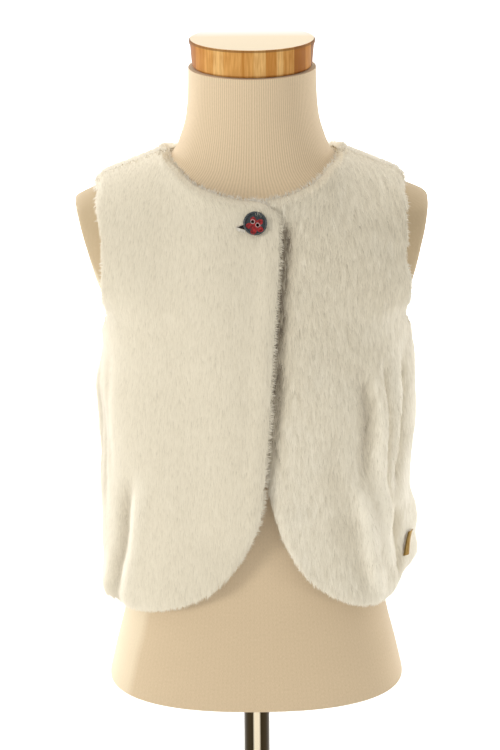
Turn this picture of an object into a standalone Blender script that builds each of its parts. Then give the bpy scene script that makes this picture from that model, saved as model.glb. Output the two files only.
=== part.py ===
"""A child's short-pile fur gilet, closed by one button at the neck, on a padded dress form.

Metres, +Z up. The wearer faces -Y, so +X is the wearer's left. The origin is on the floor, on the pole's axis.
The gilet is cut as two fronts and a back. Each is drawn flat, by the distance across from the centre front and
the height above the floor, and is then wrapped round the form's rings with the garment's ease added.
"""

import functools
import math
from collections import namedtuple

import bmesh
import bpy
import numpy as np
from mathutils import Matrix, Vector

MM = 0.001

# Clearances and walls
SEAM_GAP = 0.3 * MM
SEAT_LIFT = 1.2 * MM
FUR_THICKNESS = 7.0 * MM
EDGE_ROLL = (0.5, 0.88)
SEAM_ROLL = (0.85, 0.97)

# Stand
BASE_RADIUS = 130 * MM
BASE_THICKNESS = 9 * MM
BASE_EDGE = 4 * MM
BOSS_RADIUS = 19 * MM
BOSS_TOP = 26 * MM
POLE_RADIUS = 10.5 * MM
POLE_FOOT = 5 * MM
POLE_IN_FORM = 60 * MM

# Dress form
FORM_UNDERSIDE = 184 * MM
NECK_TOP = 678.7 * MM
CAP_TOP = 700 * MM
CAP_TOP_RADIUS = 47 * MM
CAP_FOOT_RADIUS = 45 * MM
CAP_CHAMFER = 1.6 * MM
ARM_PLATE_HEIGHT = 576 * MM
ARM_PLATE_TURN = math.radians(2.3)
ARM_CUTTER_FOOT = 476 * MM

# Gilet, as heights above the floor
NECK_POINT = 613 * MM
SHOULDER_TIPS = {-1: 588 * MM, 1: 590.2 * MM}
CHEST_LINE = 540 * MM
UNDERARM = 478 * MM
BACK_NECK = 607 * MM
OVERLAP_FOOT = 318 * MM
OVERLAP_FADE = 40 * MM
OVERLAP_RAMP = 60 * MM

# Button and label
BUTTON_RADIUS = 8.8 * MM
BUTTON_THICKNESS = 3.2 * MM
BUTTON_RIM = 1.6 * MM
BUTTON_WELL = 0.8 * MM
BUTTON_ACROSS = 1.3 * MM
BUTTON_HEIGHT = 574.2 * MM
BUTTON_HOLE_RADIUS = 1.1 * MM
BUTTON_HOLE_SPREAD = 2.2 * MM
BUTTON_TURN = math.radians(-35)
SLIT_FROM = -12.5 * MM
SLIT_TO = 4 * MM
SLIT_HEIGHT = 576.4 * MM
SLIT_WIDTH = 3.0 * MM
SLIT_OPEN = 4.4 * MM
LABEL_WIDTH = 5 * MM
LABEL_LENGTH = 18 * MM
LABEL_THICKNESS = 0.9 * MM
LABEL_SEAT = 0.8 * MM
LABEL_FROM_SEAM = -16 * MM
LABEL_HEIGHT = 299 * MM
LABEL_LEAN = 0.36

# How finely the surfaces are drawn
RING_STEPS = 121
FORM_COLUMNS = 44
SEAM_ROWS = 12
UNDERARM_ROWS = 6
YOKE_ROWS = 8
CHEST_ROWS = SEAM_ROWS + UNDERARM_ROWS
NECK_COLUMNS = 9
SHOULDER_COLUMNS = 7
COLUMNS = NECK_COLUMNS + SHOULDER_COLUMNS + 1
NECK_SHARE = 0.72
TURNED_STEPS = 48

# Rings of the padded form, in millimetres. The shoulders run on sideways until the arm plates cut them.
Section = namedtuple("Section", "height half_width front back roundness")
FORM_SECTIONS = [
    Section(184, 118, 82, 82, 2.4),
    Section(208, 112.5, 82, 79, 2.4),
    Section(234, 106, 80.5, 75, 2.35),
    Section(280, 98, 77, 70, 2.3),
    Section(330, 95, 75, 66, 2.2),
    Section(380, 97, 76, 66, 2.2),
    Section(430, 100.8, 80, 70, 2.2),
    Section(465, 102.4, 82, 74, 2.2),
    Section(480, 105.6, 81.8, 75, 2.2),
    Section(500, 114.6, 80.5, 76, 2.15),
    Section(530, 141, 76, 75, 2.1),
    Section(560, 149, 69, 70, 2.0),
    Section(573, 144, 65, 67, 1.9),
    Section(581, 132, 62, 65, 1.8),
    Section(587.3, 118, 59, 63, 1.75),
    Section(594, 101.5, 57, 61, 1.7),
    Section(600.5, 84.5, 55, 58, 1.75),
    Section(607, 69, 53.2, 56, 1.85),
    Section(612, 61.5, 52, 54, 1.95),
    Section(617, 58, 51.2, 52.5, 2.0),
    Section(624, 55.2, 50.5, 51, 2.0),
    Section(642, 50, 49, 49, 2.0),
    Section(660, 48.3, 48, 48, 2.0),
    Section(678.7, 47.8, 47.6, 47.6, 2.0),
]

# How far the gilet's inside stands off the form's rings, in millimetres
Ease = namedtuple("Ease", "height side front back")
GILET_EASE = [
    Ease(246, 12, 11, 9),
    Ease(290, 15, 13, 10),
    Ease(340, 16.5, 14, 12),
    Ease(385, 15.5, 12.5, 11.5),
    Ease(425, 14.6, 8.5, 8),
    Ease(460, 10.2, 5, 5),
    Ease(480, 7.2, 4.5, 4),
    Ease(500, 2.2, 4, 3),
    Ease(545, 1.5, 3, 2),
    Ease(580, 0.6, 1.6, 1.2),
    Ease(625, 0.4, 0.6, 0.6),
]

# The flat arm plates: how far out each is at its height, in millimetres, and how much it leans in below
ArmPlate = namedtuple("ArmPlate", "name side out lean")
ARM_PLATES = [
    ArmPlate("left", 1, 131.4, 0.244),
    ArmPlate("right", -1, 134.8, 0.29),
]

# Cut of the fronts. A front edge runs from the start of the hem's curve to the neck corner, in millimetres past
# the centre front, and the curve takes it on to the hem.
EdgePoint = namedtuple("EdgePoint", "height past_centre")
FrontCut = namedtuple("FrontCut", "side hem curve_width curve_power curve_lean edge")
RIGHT_CUT = FrontCut(
    side=-1,
    hem=259.4 * MM,
    curve_width=146 * MM,
    curve_power=2.38,
    curve_lean=0.055,
    edge=[
        EdgePoint(384, 8.1),
        EdgePoint(410, 10.2),
        EdgePoint(450, 12.7),
        EdgePoint(495, 14.8),
        EdgePoint(522, 17.1),
        EdgePoint(572, 19.8),
        EdgePoint(578, 18.6),
        EdgePoint(583, 15.1),
    ],
)
LEFT_CUT = FrontCut(
    side=1,
    hem=265 * MM,
    curve_width=92 * MM,
    curve_power=2.04,
    curve_lean=0.081,
    edge=[
        EdgePoint(388, -7.5),
        EdgePoint(412, -5),
        EdgePoint(450, 0.5),
        EdgePoint(520, 8),
        EdgePoint(576, 12),
        EdgePoint(584, 10),
    ],
)

# Front neck edge, in millimetres across from the centre front
NeckPoint = namedtuple("NeckPoint", "across height")
FRONT_NECK = [
    NeckPoint(-1, 591.2),
    NeckPoint(9, 592.1),
    NeckPoint(19, 593.5),
    NeckPoint(30, 595.8),
    NeckPoint(42, 599.5),
    NeckPoint(53, 604.5),
    NeckPoint(64, 609.5),
]

# Armhole edges above their round foot, in millimetres from the centre line
ArmholePoint = namedtuple("ArmholePoint", "height right_front left_front back")
ARMHOLE = [
    ArmholePoint(510, 113, 117, 112),
    ArmholePoint(528, 112.4, 116.4, 111.5),
    ArmholePoint(545, 111.8, 112, 111),
    ArmholePoint(570, 112, 110, 112),
    ArmholePoint(583, 113.6, 111.2, 113.6),
]

# Folds that hang at the sides, in millimetres. side is +1 on the wearer's left. Distances run from the side
# seam and are negative towards the front. A negative depth is a trough.
Fold = namedtuple("Fold", "side top bottom from_seam_top from_seam_bottom width depth")
FOLDS = [
    Fold(1, 485, 360, 0, 0, 26, 2.2),
    Fold(1, 475, 360, -76, -74, 9, -3.0),
    Fold(1, 475, 340, -54, -48, 8, -3.2),
    Fold(1, 470, 340, -33, -37, 8, -3.4),
    Fold(1, 352, 268, -35, -27, 9, -6.0),
    Fold(1, 345, 255, 6, 4, 15, 7.0),
    Fold(1, 290, 225, 8, 0, 34, -9.0),
    Fold(1, 375, 262, -90, -72, 9, -2.2),
    Fold(-1, 460, 320, -22, -20, 7, -2.6),
    Fold(-1, 456, 370, 4, 2, 13, 3.2),
    Fold(-1, 385, 248, -62, -38, 8, -3.0),
    Fold(-1, 290, 225, -8, -8, 30, 4.0),
    Fold(1, 440, 250, 52, 46, 10, -3.2),
    Fold(-1, 440, 250, 50, 44, 10, -3.2),
    Fold(1, 400, 240, 88, 84, 12, -2.4),
    Fold(-1, 380, 240, 92, 86, 12, -2.4),
    Fold(1, 460, 286, -2, -2, 24, 4.4),
    Fold(-1, 404, 262, -2, -2, 26, 4.2),
]


def smooth_curve(places, values):
    """A curve through the points that never swings past them, as a function of the place."""
    places = np.array(places, float)
    values = np.array(values, float)
    steps = np.diff(places)
    slopes = np.diff(values) / steps
    tangents = np.concatenate([slopes[:1], np.zeros(len(slopes) - 1), slopes[-1:]])
    before = slopes[:-1]
    after = slopes[1:]
    together = before * after > 0
    tangents[1:-1] = np.where(together, 2 * before * after / np.where(together, before + after, 1), 0)

    def at(place):
        place = np.clip(place, places[0], places[-1])
        i = np.clip(np.searchsorted(places, place) - 1, 0, len(steps) - 1)
        t = (place - places[i]) / steps[i]
        level = (1 + 2 * t) * (1 - t) ** 2 * values[i] + t * t * (3 - 2 * t) * values[i + 1]
        rise = t * (1 - t) ** 2 * tangents[i] + t * t * (t - 1) * tangents[i + 1]
        return level + rise * steps[i]

    return at


def column_curves(table):
    """One smooth curve over the height for each other column of a table, in metres."""
    heights = [row.height * MM for row in table]
    names = [name for name in table[0]._fields if name != "height"]
    scales = {name: 1 if name == "roundness" else MM for name in names}
    return {name: smooth_curve(heights, [getattr(row, name) * scales[name] for row in table]) for name in names}


FORM = column_curves(FORM_SECTIONS)
EASE = column_curves(GILET_EASE)
RIGHT_PAST_CENTRE = column_curves(RIGHT_CUT.edge)["past_centre"]
LEFT_PAST_CENTRE = column_curves(LEFT_CUT.edge)["past_centre"]


def soft_step(value):
    """0 below 0, 1 above 1, and smooth between."""
    value = np.clip(value, 0, 1)
    return value * value * (3 - 2 * value)


def lengths_along(points):
    """How far along a line of points each of them lies."""
    return np.concatenate([[0], np.cumsum(np.linalg.norm(np.diff(points, axis=0), axis=1))])


def half_ring(half_width, front, back, roundness):
    """Points of one level from the centre front, by the +X side, to the centre back."""
    angles = np.linspace(-math.pi / 2, math.pi / 2, RING_STEPS)
    cosines = np.abs(np.cos(angles)) ** (2 / roundness)
    sines = np.abs(np.sin(angles)) ** (2 / roundness)
    depths = np.where(angles < 0, -front, back)
    return np.stack([half_width * cosines, depths * sines], axis=1)


@functools.lru_cache(maxsize=None)
def gilet_ring(height):
    """Half of the ring that the inside of the gilet follows, and how far along it each point lies."""
    seat = height - SEAT_LIFT
    points = half_ring(
        FORM["half_width"](seat) + EASE["side"](height),
        FORM["front"](seat) + EASE["front"](height),
        FORM["back"](seat) + EASE["back"](height),
        FORM["roundness"](seat),
    )
    return points, lengths_along(points)


def seam_distance(height, behind=False):
    """Distance along the ring from the centre front, or from the centre back, to the side seam."""
    along = gilet_ring(height)[1]
    to_side = along[RING_STEPS // 2]
    return along[-1] - to_side if behind else to_side


def distance_at_width(height, width, behind):
    """Distance along the ring from the centre front, or from the centre back, to where it is this wide."""
    points, along = gilet_ring(height)
    side = RING_STEPS // 2
    if behind:
        return np.interp(width, points[side:, 0][::-1], (along[-1] - along[side:])[::-1])
    return np.interp(width, points[: side + 1, 0], along[: side + 1])


def ring_point(across, height, behind=False):
    """The ring's point at a distance across from the centre, positive towards the wearer's left."""
    points, along = gilet_ring(height)
    distance = along[-1] - abs(across) if behind else abs(across)
    x = np.interp(distance, along, points[:, 0])
    y = np.interp(distance, along, points[:, 1])
    return np.array([math.copysign(x, across), y, height])


def outward(across, height, behind=False):
    """The direction that faces out of the cloth at a point."""
    reach = 3 * MM
    sideways = ring_point(across + reach, height, behind) - ring_point(across - reach, height, behind)
    upwards = ring_point(across, height + reach, behind) - ring_point(across, height - reach, behind)
    normal = np.cross(upwards, sideways) if behind else np.cross(sideways, upwards)
    return normal / np.linalg.norm(normal)


def fold_offset(across, height, behind=False):
    """How far the folds push the cloth out at a point."""
    level = height / MM
    past_seam = (abs(across) - seam_distance(height, behind)) / MM
    from_seam = -past_seam if behind else past_seam
    total = 0
    for fold in FOLDS:
        if across * fold.side <= 0:
            continue
        run = np.clip((fold.top - level) / (fold.top - fold.bottom), 0, 1)
        middle = fold.from_seam_top + run * (fold.from_seam_bottom - fold.from_seam_top)
        ends_above_hem = fold.bottom * MM > RIGHT_CUT.hem
        envelope = soft_step(run / 0.35)
        if ends_above_hem:
            envelope *= soft_step((1 - run) / 0.3)
        total += fold.depth * envelope * math.exp(-(((from_seam - middle) / fold.width) ** 2))
    return total * MM


def overlap_lift(across, height):
    """How far the right front is held off by the left front that lies under its edge."""
    start = -LEFT_PAST_CENTRE(height) - OVERLAP_RAMP
    fade = soft_step((height - OVERLAP_FOOT) / OVERLAP_FADE)
    return (FUR_THICKNESS + 2 * SEAM_GAP) * soft_step((across - start) / (OVERLAP_RAMP * 0.85)) * fade


def inner_point(across, height, behind=False, over=False):
    """The inside of the cloth with its folds, and the direction out of it.

    behind is for the back, drawn from the centre back. over is for the right front.
    """
    normal = outward(across, height, behind)
    push = fold_offset(across, height, behind)
    if over:
        push += overlap_lift(across, height)
    return ring_point(across, height, behind) + normal * push, normal


def even_steps(line, count, behind=False):
    """Flat points spaced evenly along a line of flat points as it lies on the form."""
    line = np.array(line, float)
    along = lengths_along(np.array([ring_point(*place, behind) for place in line]))
    places = np.linspace(0, along[-1], count)
    return np.stack([np.interp(places, along, column) for column in line.T], axis=1)


def hem_curve(cut, turn):
    """A point of a front's rounded hem: turn is 0 on the front edge and 1 on the level hem.

    The curve leans away from the centre from its start on, as the edge above it does.
    """
    start = cut.edge[0]
    angle = turn * math.pi / 2
    power = 2 / cut.curve_power
    drop = (start.height * MM - cut.hem) * math.sin(angle) ** power
    across = cut.curve_lean * drop - start.past_centre * MM + cut.curve_width * (1 - math.cos(angle) ** power)
    return (cut.side * across, start.height * MM - drop)


def front_edge_line(cut, past_centre):
    """The front edge from half way round the hem's curve up to its neck corner."""
    line = [hem_curve(cut, turn) for turn in np.linspace(0.5, 0, 20)]
    heights = np.linspace(cut.edge[0].height * MM, cut.edge[-1].height * MM, 60)
    return line + [(-cut.side * past_centre(height), height) for height in heights[1:]]


def hem_line(cut):
    """The hem from half way round its curve to the side seam."""
    line = [hem_curve(cut, turn) for turn in np.linspace(0.5, 1, 20)]
    return line + [(cut.side * (seam_distance(cut.hem) - SEAM_GAP / 2), cut.hem)]


def front_neck_line(side, start):
    """The front neck edge from the neck corner to the neck point on the shoulder."""
    end = seam_distance(NECK_POINT) - SEAM_GAP / 2
    places = [start[0] * side] + [point.across * MM for point in FRONT_NECK] + [end]
    heights = [start[1]] + [point.height * MM for point in FRONT_NECK] + [NECK_POINT]
    height_at = smooth_curve(places, heights)
    return [(side * across, height_at(across)) for across in np.linspace(places[0], end, 60)]


def back_neck_line(side):
    """The back neck edge from the centre back to the neck point on the shoulder."""
    end = seam_distance(NECK_POINT, True) - SEAM_GAP / 2
    shares = np.linspace(0, 1, 40)
    return [(side * end * share, BACK_NECK + (NECK_POINT - BACK_NECK) * share**2.4) for share in shares]


def shoulder_line(side, behind):
    """The shoulder seam from the neck point to the shoulder tip."""
    heights = np.linspace(NECK_POINT, SHOULDER_TIPS[side], 30)
    return [(side * (seam_distance(height, behind) - SEAM_GAP / 2), height) for height in heights]


def side_seam_line(side, hem, behind):
    """The side seam from the hem to the underarm."""
    heights = np.linspace(hem, UNDERARM, 30)
    return [(side * (seam_distance(height, behind) - SEAM_GAP / 2), height) for height in heights]


def armhole_line(side, behind):
    """The armhole edge, round at the underarm, up to the shoulder tip."""
    foot_end = ARMHOLE[0].height * MM
    tip = SHOULDER_TIPS[side]
    tip_width = gilet_ring(tip)[0][RING_STEPS // 2, 0]
    panel = "back" if behind else {-1: "right_front", 1: "left_front"}[side]
    widths = [getattr(point, panel) * MM for point in ARMHOLE]
    heights = [point.height * MM for point in ARMHOLE]
    width_at = smooth_curve(heights + [tip], widths + [tip_width])
    seam = seam_distance(UNDERARM, behind) - SEAM_GAP / 2
    narrowest = distance_at_width(foot_end, widths[0], behind)
    line = []
    for turn in np.linspace(0, math.pi / 2, 40):
        height = UNDERARM + (foot_end - UNDERARM) * (1 - math.cos(turn))
        line.append((side * (seam - (seam - narrowest) * math.sin(turn)), height))
    for turn in np.linspace(0, math.pi, 80)[1:]:
        height = foot_end + (tip - foot_end) * (1 - math.cos(turn)) / 2
        line.append((side * distance_at_width(height, width_at(height), behind), height))
    line[-1] = (side * (seam_distance(tip, behind) - SEAM_GAP / 2), tip)
    return line


def joined(first, second, first_steps, second_steps, behind=False):
    """Two lines that meet, each cut into its own number of even steps."""
    start = even_steps(first, first_steps + 1, behind)[:-1]
    return np.concatenate([start, even_steps(second, second_steps + 1, behind)])


def parted(line):
    """The parts of a rising line below and above the chest line."""
    line = np.array(line)
    across = np.interp(CHEST_LINE, line[:, 1], line[:, 0])
    low = line[line[:, 1] < CHEST_LINE]
    high = line[line[:, 1] > CHEST_LINE]
    middle = [(across, CHEST_LINE)]
    return np.concatenate([low, middle]), np.concatenate([middle, high])


def fill_between(bottom, top, start, end):
    """A grid of flat points that fills the space between four edges."""
    u = np.linspace(0, 1, len(bottom))[None, :, None]
    v = np.linspace(0, 1, len(start))[:, None, None]
    across = (1 - u) * start[:, None] + u * end[:, None]
    upwards = (1 - v) * bottom[None] + v * top[None]
    corners = (1 - v) * ((1 - u) * bottom[0] + u * bottom[-1]) + v * ((1 - u) * top[0] + u * top[-1])
    return across + upwards - corners


def yoke_column(foot, head, behind):
    """A line up the cloth from the chest line to the neck or the shoulder seam."""
    foot_x = ring_point(*foot, behind)[0]
    head_x = ring_point(*head, behind)[0]
    line = [foot]
    for share in np.linspace(0, 1, 60)[1:-1]:
        height = foot[1] + (head[1] - foot[1]) * (1 - (1 - share) ** 2)
        x = foot_x + (head_x - foot_x) * soft_step(share)
        line.append((math.copysign(distance_at_width(height, abs(x), behind), x), height))
    return line + [head]


def panel_grid(hem, start_line, side, side_hem, neck, behind=False):
    """The flat grid of a panel from its start line to its side, and from its hem to its neck and shoulder."""
    start_low, start_high = parted(start_line)
    arm_low, arm_high = parted(armhole_line(side, behind))
    seam = side_seam_line(side, side_hem, behind)
    start = even_steps(start_low, CHEST_ROWS + 1, behind)
    end = joined(seam, arm_low, SEAM_ROWS, UNDERARM_ROWS, behind)
    bottom = even_steps(hem, COLUMNS, behind)
    chest = np.linspace(start[-1], end[-1], 101)
    split = round(100 * NECK_SHARE)
    chest = joined(chest[:split + 1], chest[split:], NECK_COLUMNS, SHOULDER_COLUMNS, behind)
    top = joined(neck, shoulder_line(side, behind), NECK_COLUMNS, SHOULDER_COLUMNS, behind)
    columns = [start_high]
    columns += [yoke_column(foot, head, behind) for foot, head in zip(chest[1:-1], top[1:-1])]
    columns.append(arm_high)
    yoke = np.stack([even_steps(column, YOKE_ROWS + 1, behind)[1:] for column in columns], axis=1)
    return np.concatenate([fill_between(bottom, chest, start, end), yoke])


def front_pattern(cut, past_centre):
    """The flat grid of a front, from its front edge to its side."""
    edge = front_edge_line(cut, past_centre)
    return panel_grid(hem_line(cut), edge, cut.side, cut.hem, front_neck_line(cut.side, edge[-1]))


def back_half_pattern(cut):
    """The flat grid of the back from the centre back to the side seam that it shares with a front."""
    hem = (RIGHT_CUT.hem + LEFT_CUT.hem) / 2
    centre = [(cut.side * 1e-9, height) for height in np.linspace(hem, BACK_NECK, 60)]
    seam = (cut.side * (seam_distance(cut.hem, True) - SEAM_GAP / 2), cut.hem)
    bottom = np.linspace(centre[0], seam, 30)
    return panel_grid(bottom, centre, cut.side, cut.hem, back_neck_line(cut.side), True)


def back_pattern():
    """The flat grid of the back, from the right side seam to the left, drawn from the centre back."""
    right = back_half_pattern(RIGHT_CUT)
    left = back_half_pattern(LEFT_CUT)
    return np.concatenate([right[:, :0:-1], left], axis=1)


def wall_thickness(start_is_edge):
    """The wall's thickness over a grid: rolled at free edges, and a little less at seams."""
    share = np.ones((CHEST_ROWS + YOKE_ROWS + 1, COLUMNS))
    neck = slice(0, NECK_COLUMNS)
    shoulder = slice(NECK_COLUMNS, None)
    seam = slice(0, SEAM_ROWS + 1)
    armhole = slice(SEAM_ROWS + 1, None)
    for k in range(2):
        edges = [(k, slice(None), EDGE_ROLL), (-1 - k, neck, EDGE_ROLL), (-1 - k, shoulder, SEAM_ROLL)]
        edges += [(seam, -1 - k, SEAM_ROLL), (armhole, -1 - k, EDGE_ROLL)]
        if start_is_edge:
            edges.append((slice(None), k, EDGE_ROLL))
        for row, column, roll in edges:
            share[row, column] = np.minimum(share[row, column], roll[k])
    return share * FUR_THICKNESS


def new_object(name, builder, material):
    """A named object with a bmesh's faces and one material."""
    mesh = bpy.data.meshes.new(name)
    builder.to_mesh(mesh)
    builder.free()
    mesh.materials.append(material)
    shape = bpy.data.objects.new(name, mesh)
    bpy.context.scene.collection.objects.link(shape)
    return shape


def shade(shape, degrees):
    """Shades an object smooth but for its sharp edges."""
    shape.data.shade_smooth()
    shape.data.set_sharp_from_angle(angle=math.radians(degrees))
    return shape


def wall(name, inner, outer, material):
    """A closed wall between two grids of points."""
    rows, columns = inner.shape[:2]
    builder = bmesh.new()
    inside, outside = [[[builder.verts.new(p) for p in row] for row in grid] for grid in (inner, outer)]
    for i in range(rows - 1):
        for j in range(columns - 1):
            for grid, order in ((outside, 1), (inside, -1)):
                corners = [grid[i][j], grid[i][j + 1], grid[i + 1][j + 1], grid[i + 1][j]][::order]
                if (corners[0].co - corners[2].co).length > (corners[1].co - corners[3].co).length:
                    corners = corners[1:] + corners[:1]
                builder.faces.new(corners[:3])
                builder.faces.new([corners[2], corners[3], corners[0]])
    rim = [(0, j) for j in range(columns)]
    rim += [(i, columns - 1) for i in range(1, rows)]
    rim += [(rows - 1, j) for j in range(columns - 2, -1, -1)]
    rim += [(i, 0) for i in range(rows - 2, 0, -1)]
    for (a, b), (c, d) in zip(rim, rim[1:] + rim[:1]):
        builder.faces.new([outside[a][b], inside[a][b], inside[c][d], outside[c][d]])
    bmesh.ops.recalc_face_normals(builder, faces=builder.faces)
    return shade(new_object(name, builder, material), 50)


def fur_panel(name, pattern, thickness, material, behind=False, over=False):
    """A pattern piece wrapped round the form, as a wall that reaches as far as its fur."""
    inner = np.empty(pattern.shape[:2] + (3,))
    outer = np.empty_like(inner)
    for place in np.ndindex(pattern.shape[:2]):
        inner[place], normal = inner_point(*pattern[place], behind, over)
        outer[place] = inner[place] + normal * thickness[place]
    return wall(name, inner, outer, material)


def turned(name, profile, material):
    """A solid turned about +Z from (radius, height) points that run from the axis back to the axis."""
    builder = bmesh.new()
    angles = [2 * math.pi * k / TURNED_STEPS for k in range(TURNED_STEPS)]
    rings = []
    for radius, height in profile:
        places = [(radius * math.cos(a), radius * math.sin(a), height) for a in angles]
        if radius == 0:
            places = places[:1]
        rings.append([builder.verts.new(place) for place in places])
    for lower, upper in zip(rings, rings[1:]):
        for k in range(TURNED_STEPS):
            after = (k + 1) % TURNED_STEPS
            corners = [lower[k % len(lower)], lower[after % len(lower)]]
            corners += [upper[after % len(upper)], upper[k % len(upper)]]
            builder.faces.new(list(dict.fromkeys(corners)))
    bmesh.ops.recalc_face_normals(builder, faces=builder.faces)
    return shade(new_object(name, builder, material), 35)


def prism(outline, near, far):
    """A prism over an (x, z) outline between two depths along Y."""
    builder = bmesh.new()
    front = [builder.verts.new((x, near, z)) for x, z in outline]
    back = [builder.verts.new((x, far, z)) for x, z in outline]
    builder.faces.new(front)
    builder.faces.new(back[::-1])
    for k in range(len(outline)):
        after = (k + 1) % len(outline)
        builder.faces.new([front[after], front[k], back[k], back[after]])
    bmesh.ops.recalc_face_normals(builder, faces=builder.faces)
    return builder


def cylinder(radius, foot, top, x=0.0):
    """A cylinder along +Z."""
    builder = bmesh.new()
    place = Matrix.Translation((x, 0, (foot + top) / 2))
    sizes = {"radius1": radius, "radius2": radius, "depth": top - foot}
    bmesh.ops.create_cone(builder, cap_ends=True, segments=20, matrix=place, **sizes)
    return builder


def cut(shape, name, builder):
    """Cuts a helper's solid out of a shape."""
    helper = new_object(name, builder, shape.data.materials[0])
    helper.hide_render = True
    helper.display_type = "WIRE"
    modifier = shape.modifiers.new(name, "BOOLEAN")
    modifier.operation = "DIFFERENCE"
    modifier.solver = "EXACT"
    modifier.object = helper
    return helper


def finish(name, colour, roughness, metallic=0.0):
    """A plain material with a piece's colour."""
    material = bpy.data.materials.new(name)
    material.use_nodes = True
    shader = material.node_tree.nodes["Principled BSDF"]
    shader.inputs["Base Color"].default_value = (*colour, 1)
    shader.inputs["Roughness"].default_value = roughness
    shader.inputs["Metallic"].default_value = metallic
    return material


def make_form(material):
    """The padded torso, with flat arm plates and a socket for the pole."""
    heights = [row.height * MM for row in FORM_SECTIONS]
    heights += [(low + high) / 2 for low, high in zip(heights, heights[1:]) if high - low > 25 * MM]
    builder = bmesh.new()
    rings = []
    for height in sorted(heights):
        half = half_ring(*(FORM[name](height) for name in Section._fields[1:]))
        along = lengths_along(half)
        places = np.linspace(0, along[-1], FORM_COLUMNS // 2 + 1)
        side = np.stack([np.interp(places, along, column) for column in half.T], axis=1)
        ring = np.concatenate([side, side[-2:0:-1] * (-1, 1)])
        rings.append([builder.verts.new((x, y, height)) for x, y in ring])
    for lower, upper in zip(rings, rings[1:]):
        for k in range(FORM_COLUMNS):
            after = (k + 1) % FORM_COLUMNS
            builder.faces.new([lower[k], lower[after], upper[after], upper[k]])
    builder.faces.new(rings[0])
    builder.faces.new(rings[-1])
    bmesh.ops.recalc_face_normals(builder, faces=builder.faces)
    torso = new_object("form_body", builder, material)
    for plate in ARM_PLATES:
        cut(torso, "arm_cutter_" + plate.name, arm_cutter(plate))
    top = FORM_UNDERSIDE + POLE_IN_FORM + SEAM_GAP
    cut(torso, "socket_cutter", cylinder(POLE_RADIUS + SEAM_GAP, FORM_UNDERSIDE - 5 * MM, top))
    return shade(torso, 45)


def arm_cutter(plate):
    """The block whose inner face is one arm plate, leaning in towards its foot, on a form turned a little."""
    roof = ARM_PLATE_HEIGHT + 40 * MM
    roof_x = plate.out * MM + plate.lean * (roof - ARM_PLATE_HEIGHT)
    foot_x = plate.out * MM - plate.lean * (ARM_PLATE_HEIGHT - ARM_CUTTER_FOOT)
    far_x = plate.out * MM + 60 * MM
    outline = [(foot_x, ARM_CUTTER_FOOT), (far_x, ARM_CUTTER_FOOT), (far_x, roof), (roof_x, roof)]
    reach = 120 * MM
    block = prism([(plate.side * x, z) for x, z in outline], -reach, reach)
    bmesh.ops.rotate(block, cent=(0, 0, 0), matrix=Matrix.Rotation(ARM_PLATE_TURN, 3, "Z"), verts=block.verts)
    return block


def make_neck_cap(material):
    """The wooden disc on the neck, a little wider at its top."""
    foot = NECK_TOP + SEAM_GAP
    profile = [
        (0, foot),
        (CAP_FOOT_RADIUS - CAP_CHAMFER, foot),
        (CAP_FOOT_RADIUS, foot + CAP_CHAMFER),
        (CAP_TOP_RADIUS - CAP_CHAMFER / 2, CAP_TOP - 3 * CAP_CHAMFER),
        (CAP_TOP_RADIUS, CAP_TOP - 1.7 * CAP_CHAMFER),
        (CAP_TOP_RADIUS, CAP_TOP - CAP_CHAMFER / 2),
        (CAP_TOP_RADIUS - CAP_CHAMFER / 2, CAP_TOP),
        (0, CAP_TOP),
    ]
    return turned("neck_cap", profile, material)


def make_stand(material):
    """The pole, from its socket in the base to its socket in the form, and the round base."""
    foot = POLE_FOOT + SEAM_GAP
    top = FORM_UNDERSIDE + POLE_IN_FORM
    turned("pole", [(0, foot), (POLE_RADIUS, foot), (POLE_RADIUS, top), (0, top)], material)
    bore = POLE_RADIUS + SEAM_GAP
    profile = [
        (0, 0),
        (BASE_RADIUS - 1 * MM, 0),
        (BASE_RADIUS, 1 * MM),
        (BASE_RADIUS, BASE_EDGE),
        (BASE_RADIUS - 2.5 * MM, BASE_EDGE + 1.8 * MM),
        (BOSS_RADIUS + 12 * MM, BASE_THICKNESS),
        (BOSS_RADIUS + 3 * MM, BASE_THICKNESS + 2 * MM),
        (BOSS_RADIUS, BASE_THICKNESS + 6 * MM),
        (BOSS_RADIUS, BOSS_TOP - 1.5 * MM),
        (BOSS_RADIUS - 1.5 * MM, BOSS_TOP),
        (bore, BOSS_TOP),
        (bore, POLE_FOOT),
        (0, POLE_FOOT),
    ]
    return turned("base", profile, material)


def buttonhole():
    """A slit: round where the button's thread passes, pulled open beside it and pointed at its other end."""
    half = SLIT_WIDTH / 2
    middle = SLIT_TO - half
    angles = np.linspace(-math.pi / 2, math.pi / 2, 7)
    outline = [(middle + half * math.cos(a), SLIT_HEIGHT + half * math.sin(a)) for a in angles]
    beside_button = BUTTON_ACROSS - BUTTON_RADIUS * 0.8
    outline.append((beside_button, SLIT_HEIGHT + SLIT_OPEN / 2))
    outline.append((SLIT_FROM, SLIT_HEIGHT))
    outline.append((beside_button, SLIT_HEIGHT - SLIT_OPEN / 2))
    return prism(outline, -110 * MM, -30 * MM)


def make_gilet(material):
    """The two fronts and the back."""
    thickness = wall_thickness(True)
    right_cut = front_pattern(RIGHT_CUT, RIGHT_PAST_CENTRE)
    left_cut = front_pattern(LEFT_CUT, LEFT_PAST_CENTRE)
    right = fur_panel("right_front", right_cut, thickness, material, over=True)
    cut(right, "buttonhole_cutter", buttonhole())
    fur_panel("left_front", left_cut, thickness, material)
    half = wall_thickness(False)
    thickness = np.concatenate([half[:, :0:-1], half], axis=1)
    fur_panel("back", back_pattern(), thickness, material, behind=True)


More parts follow.
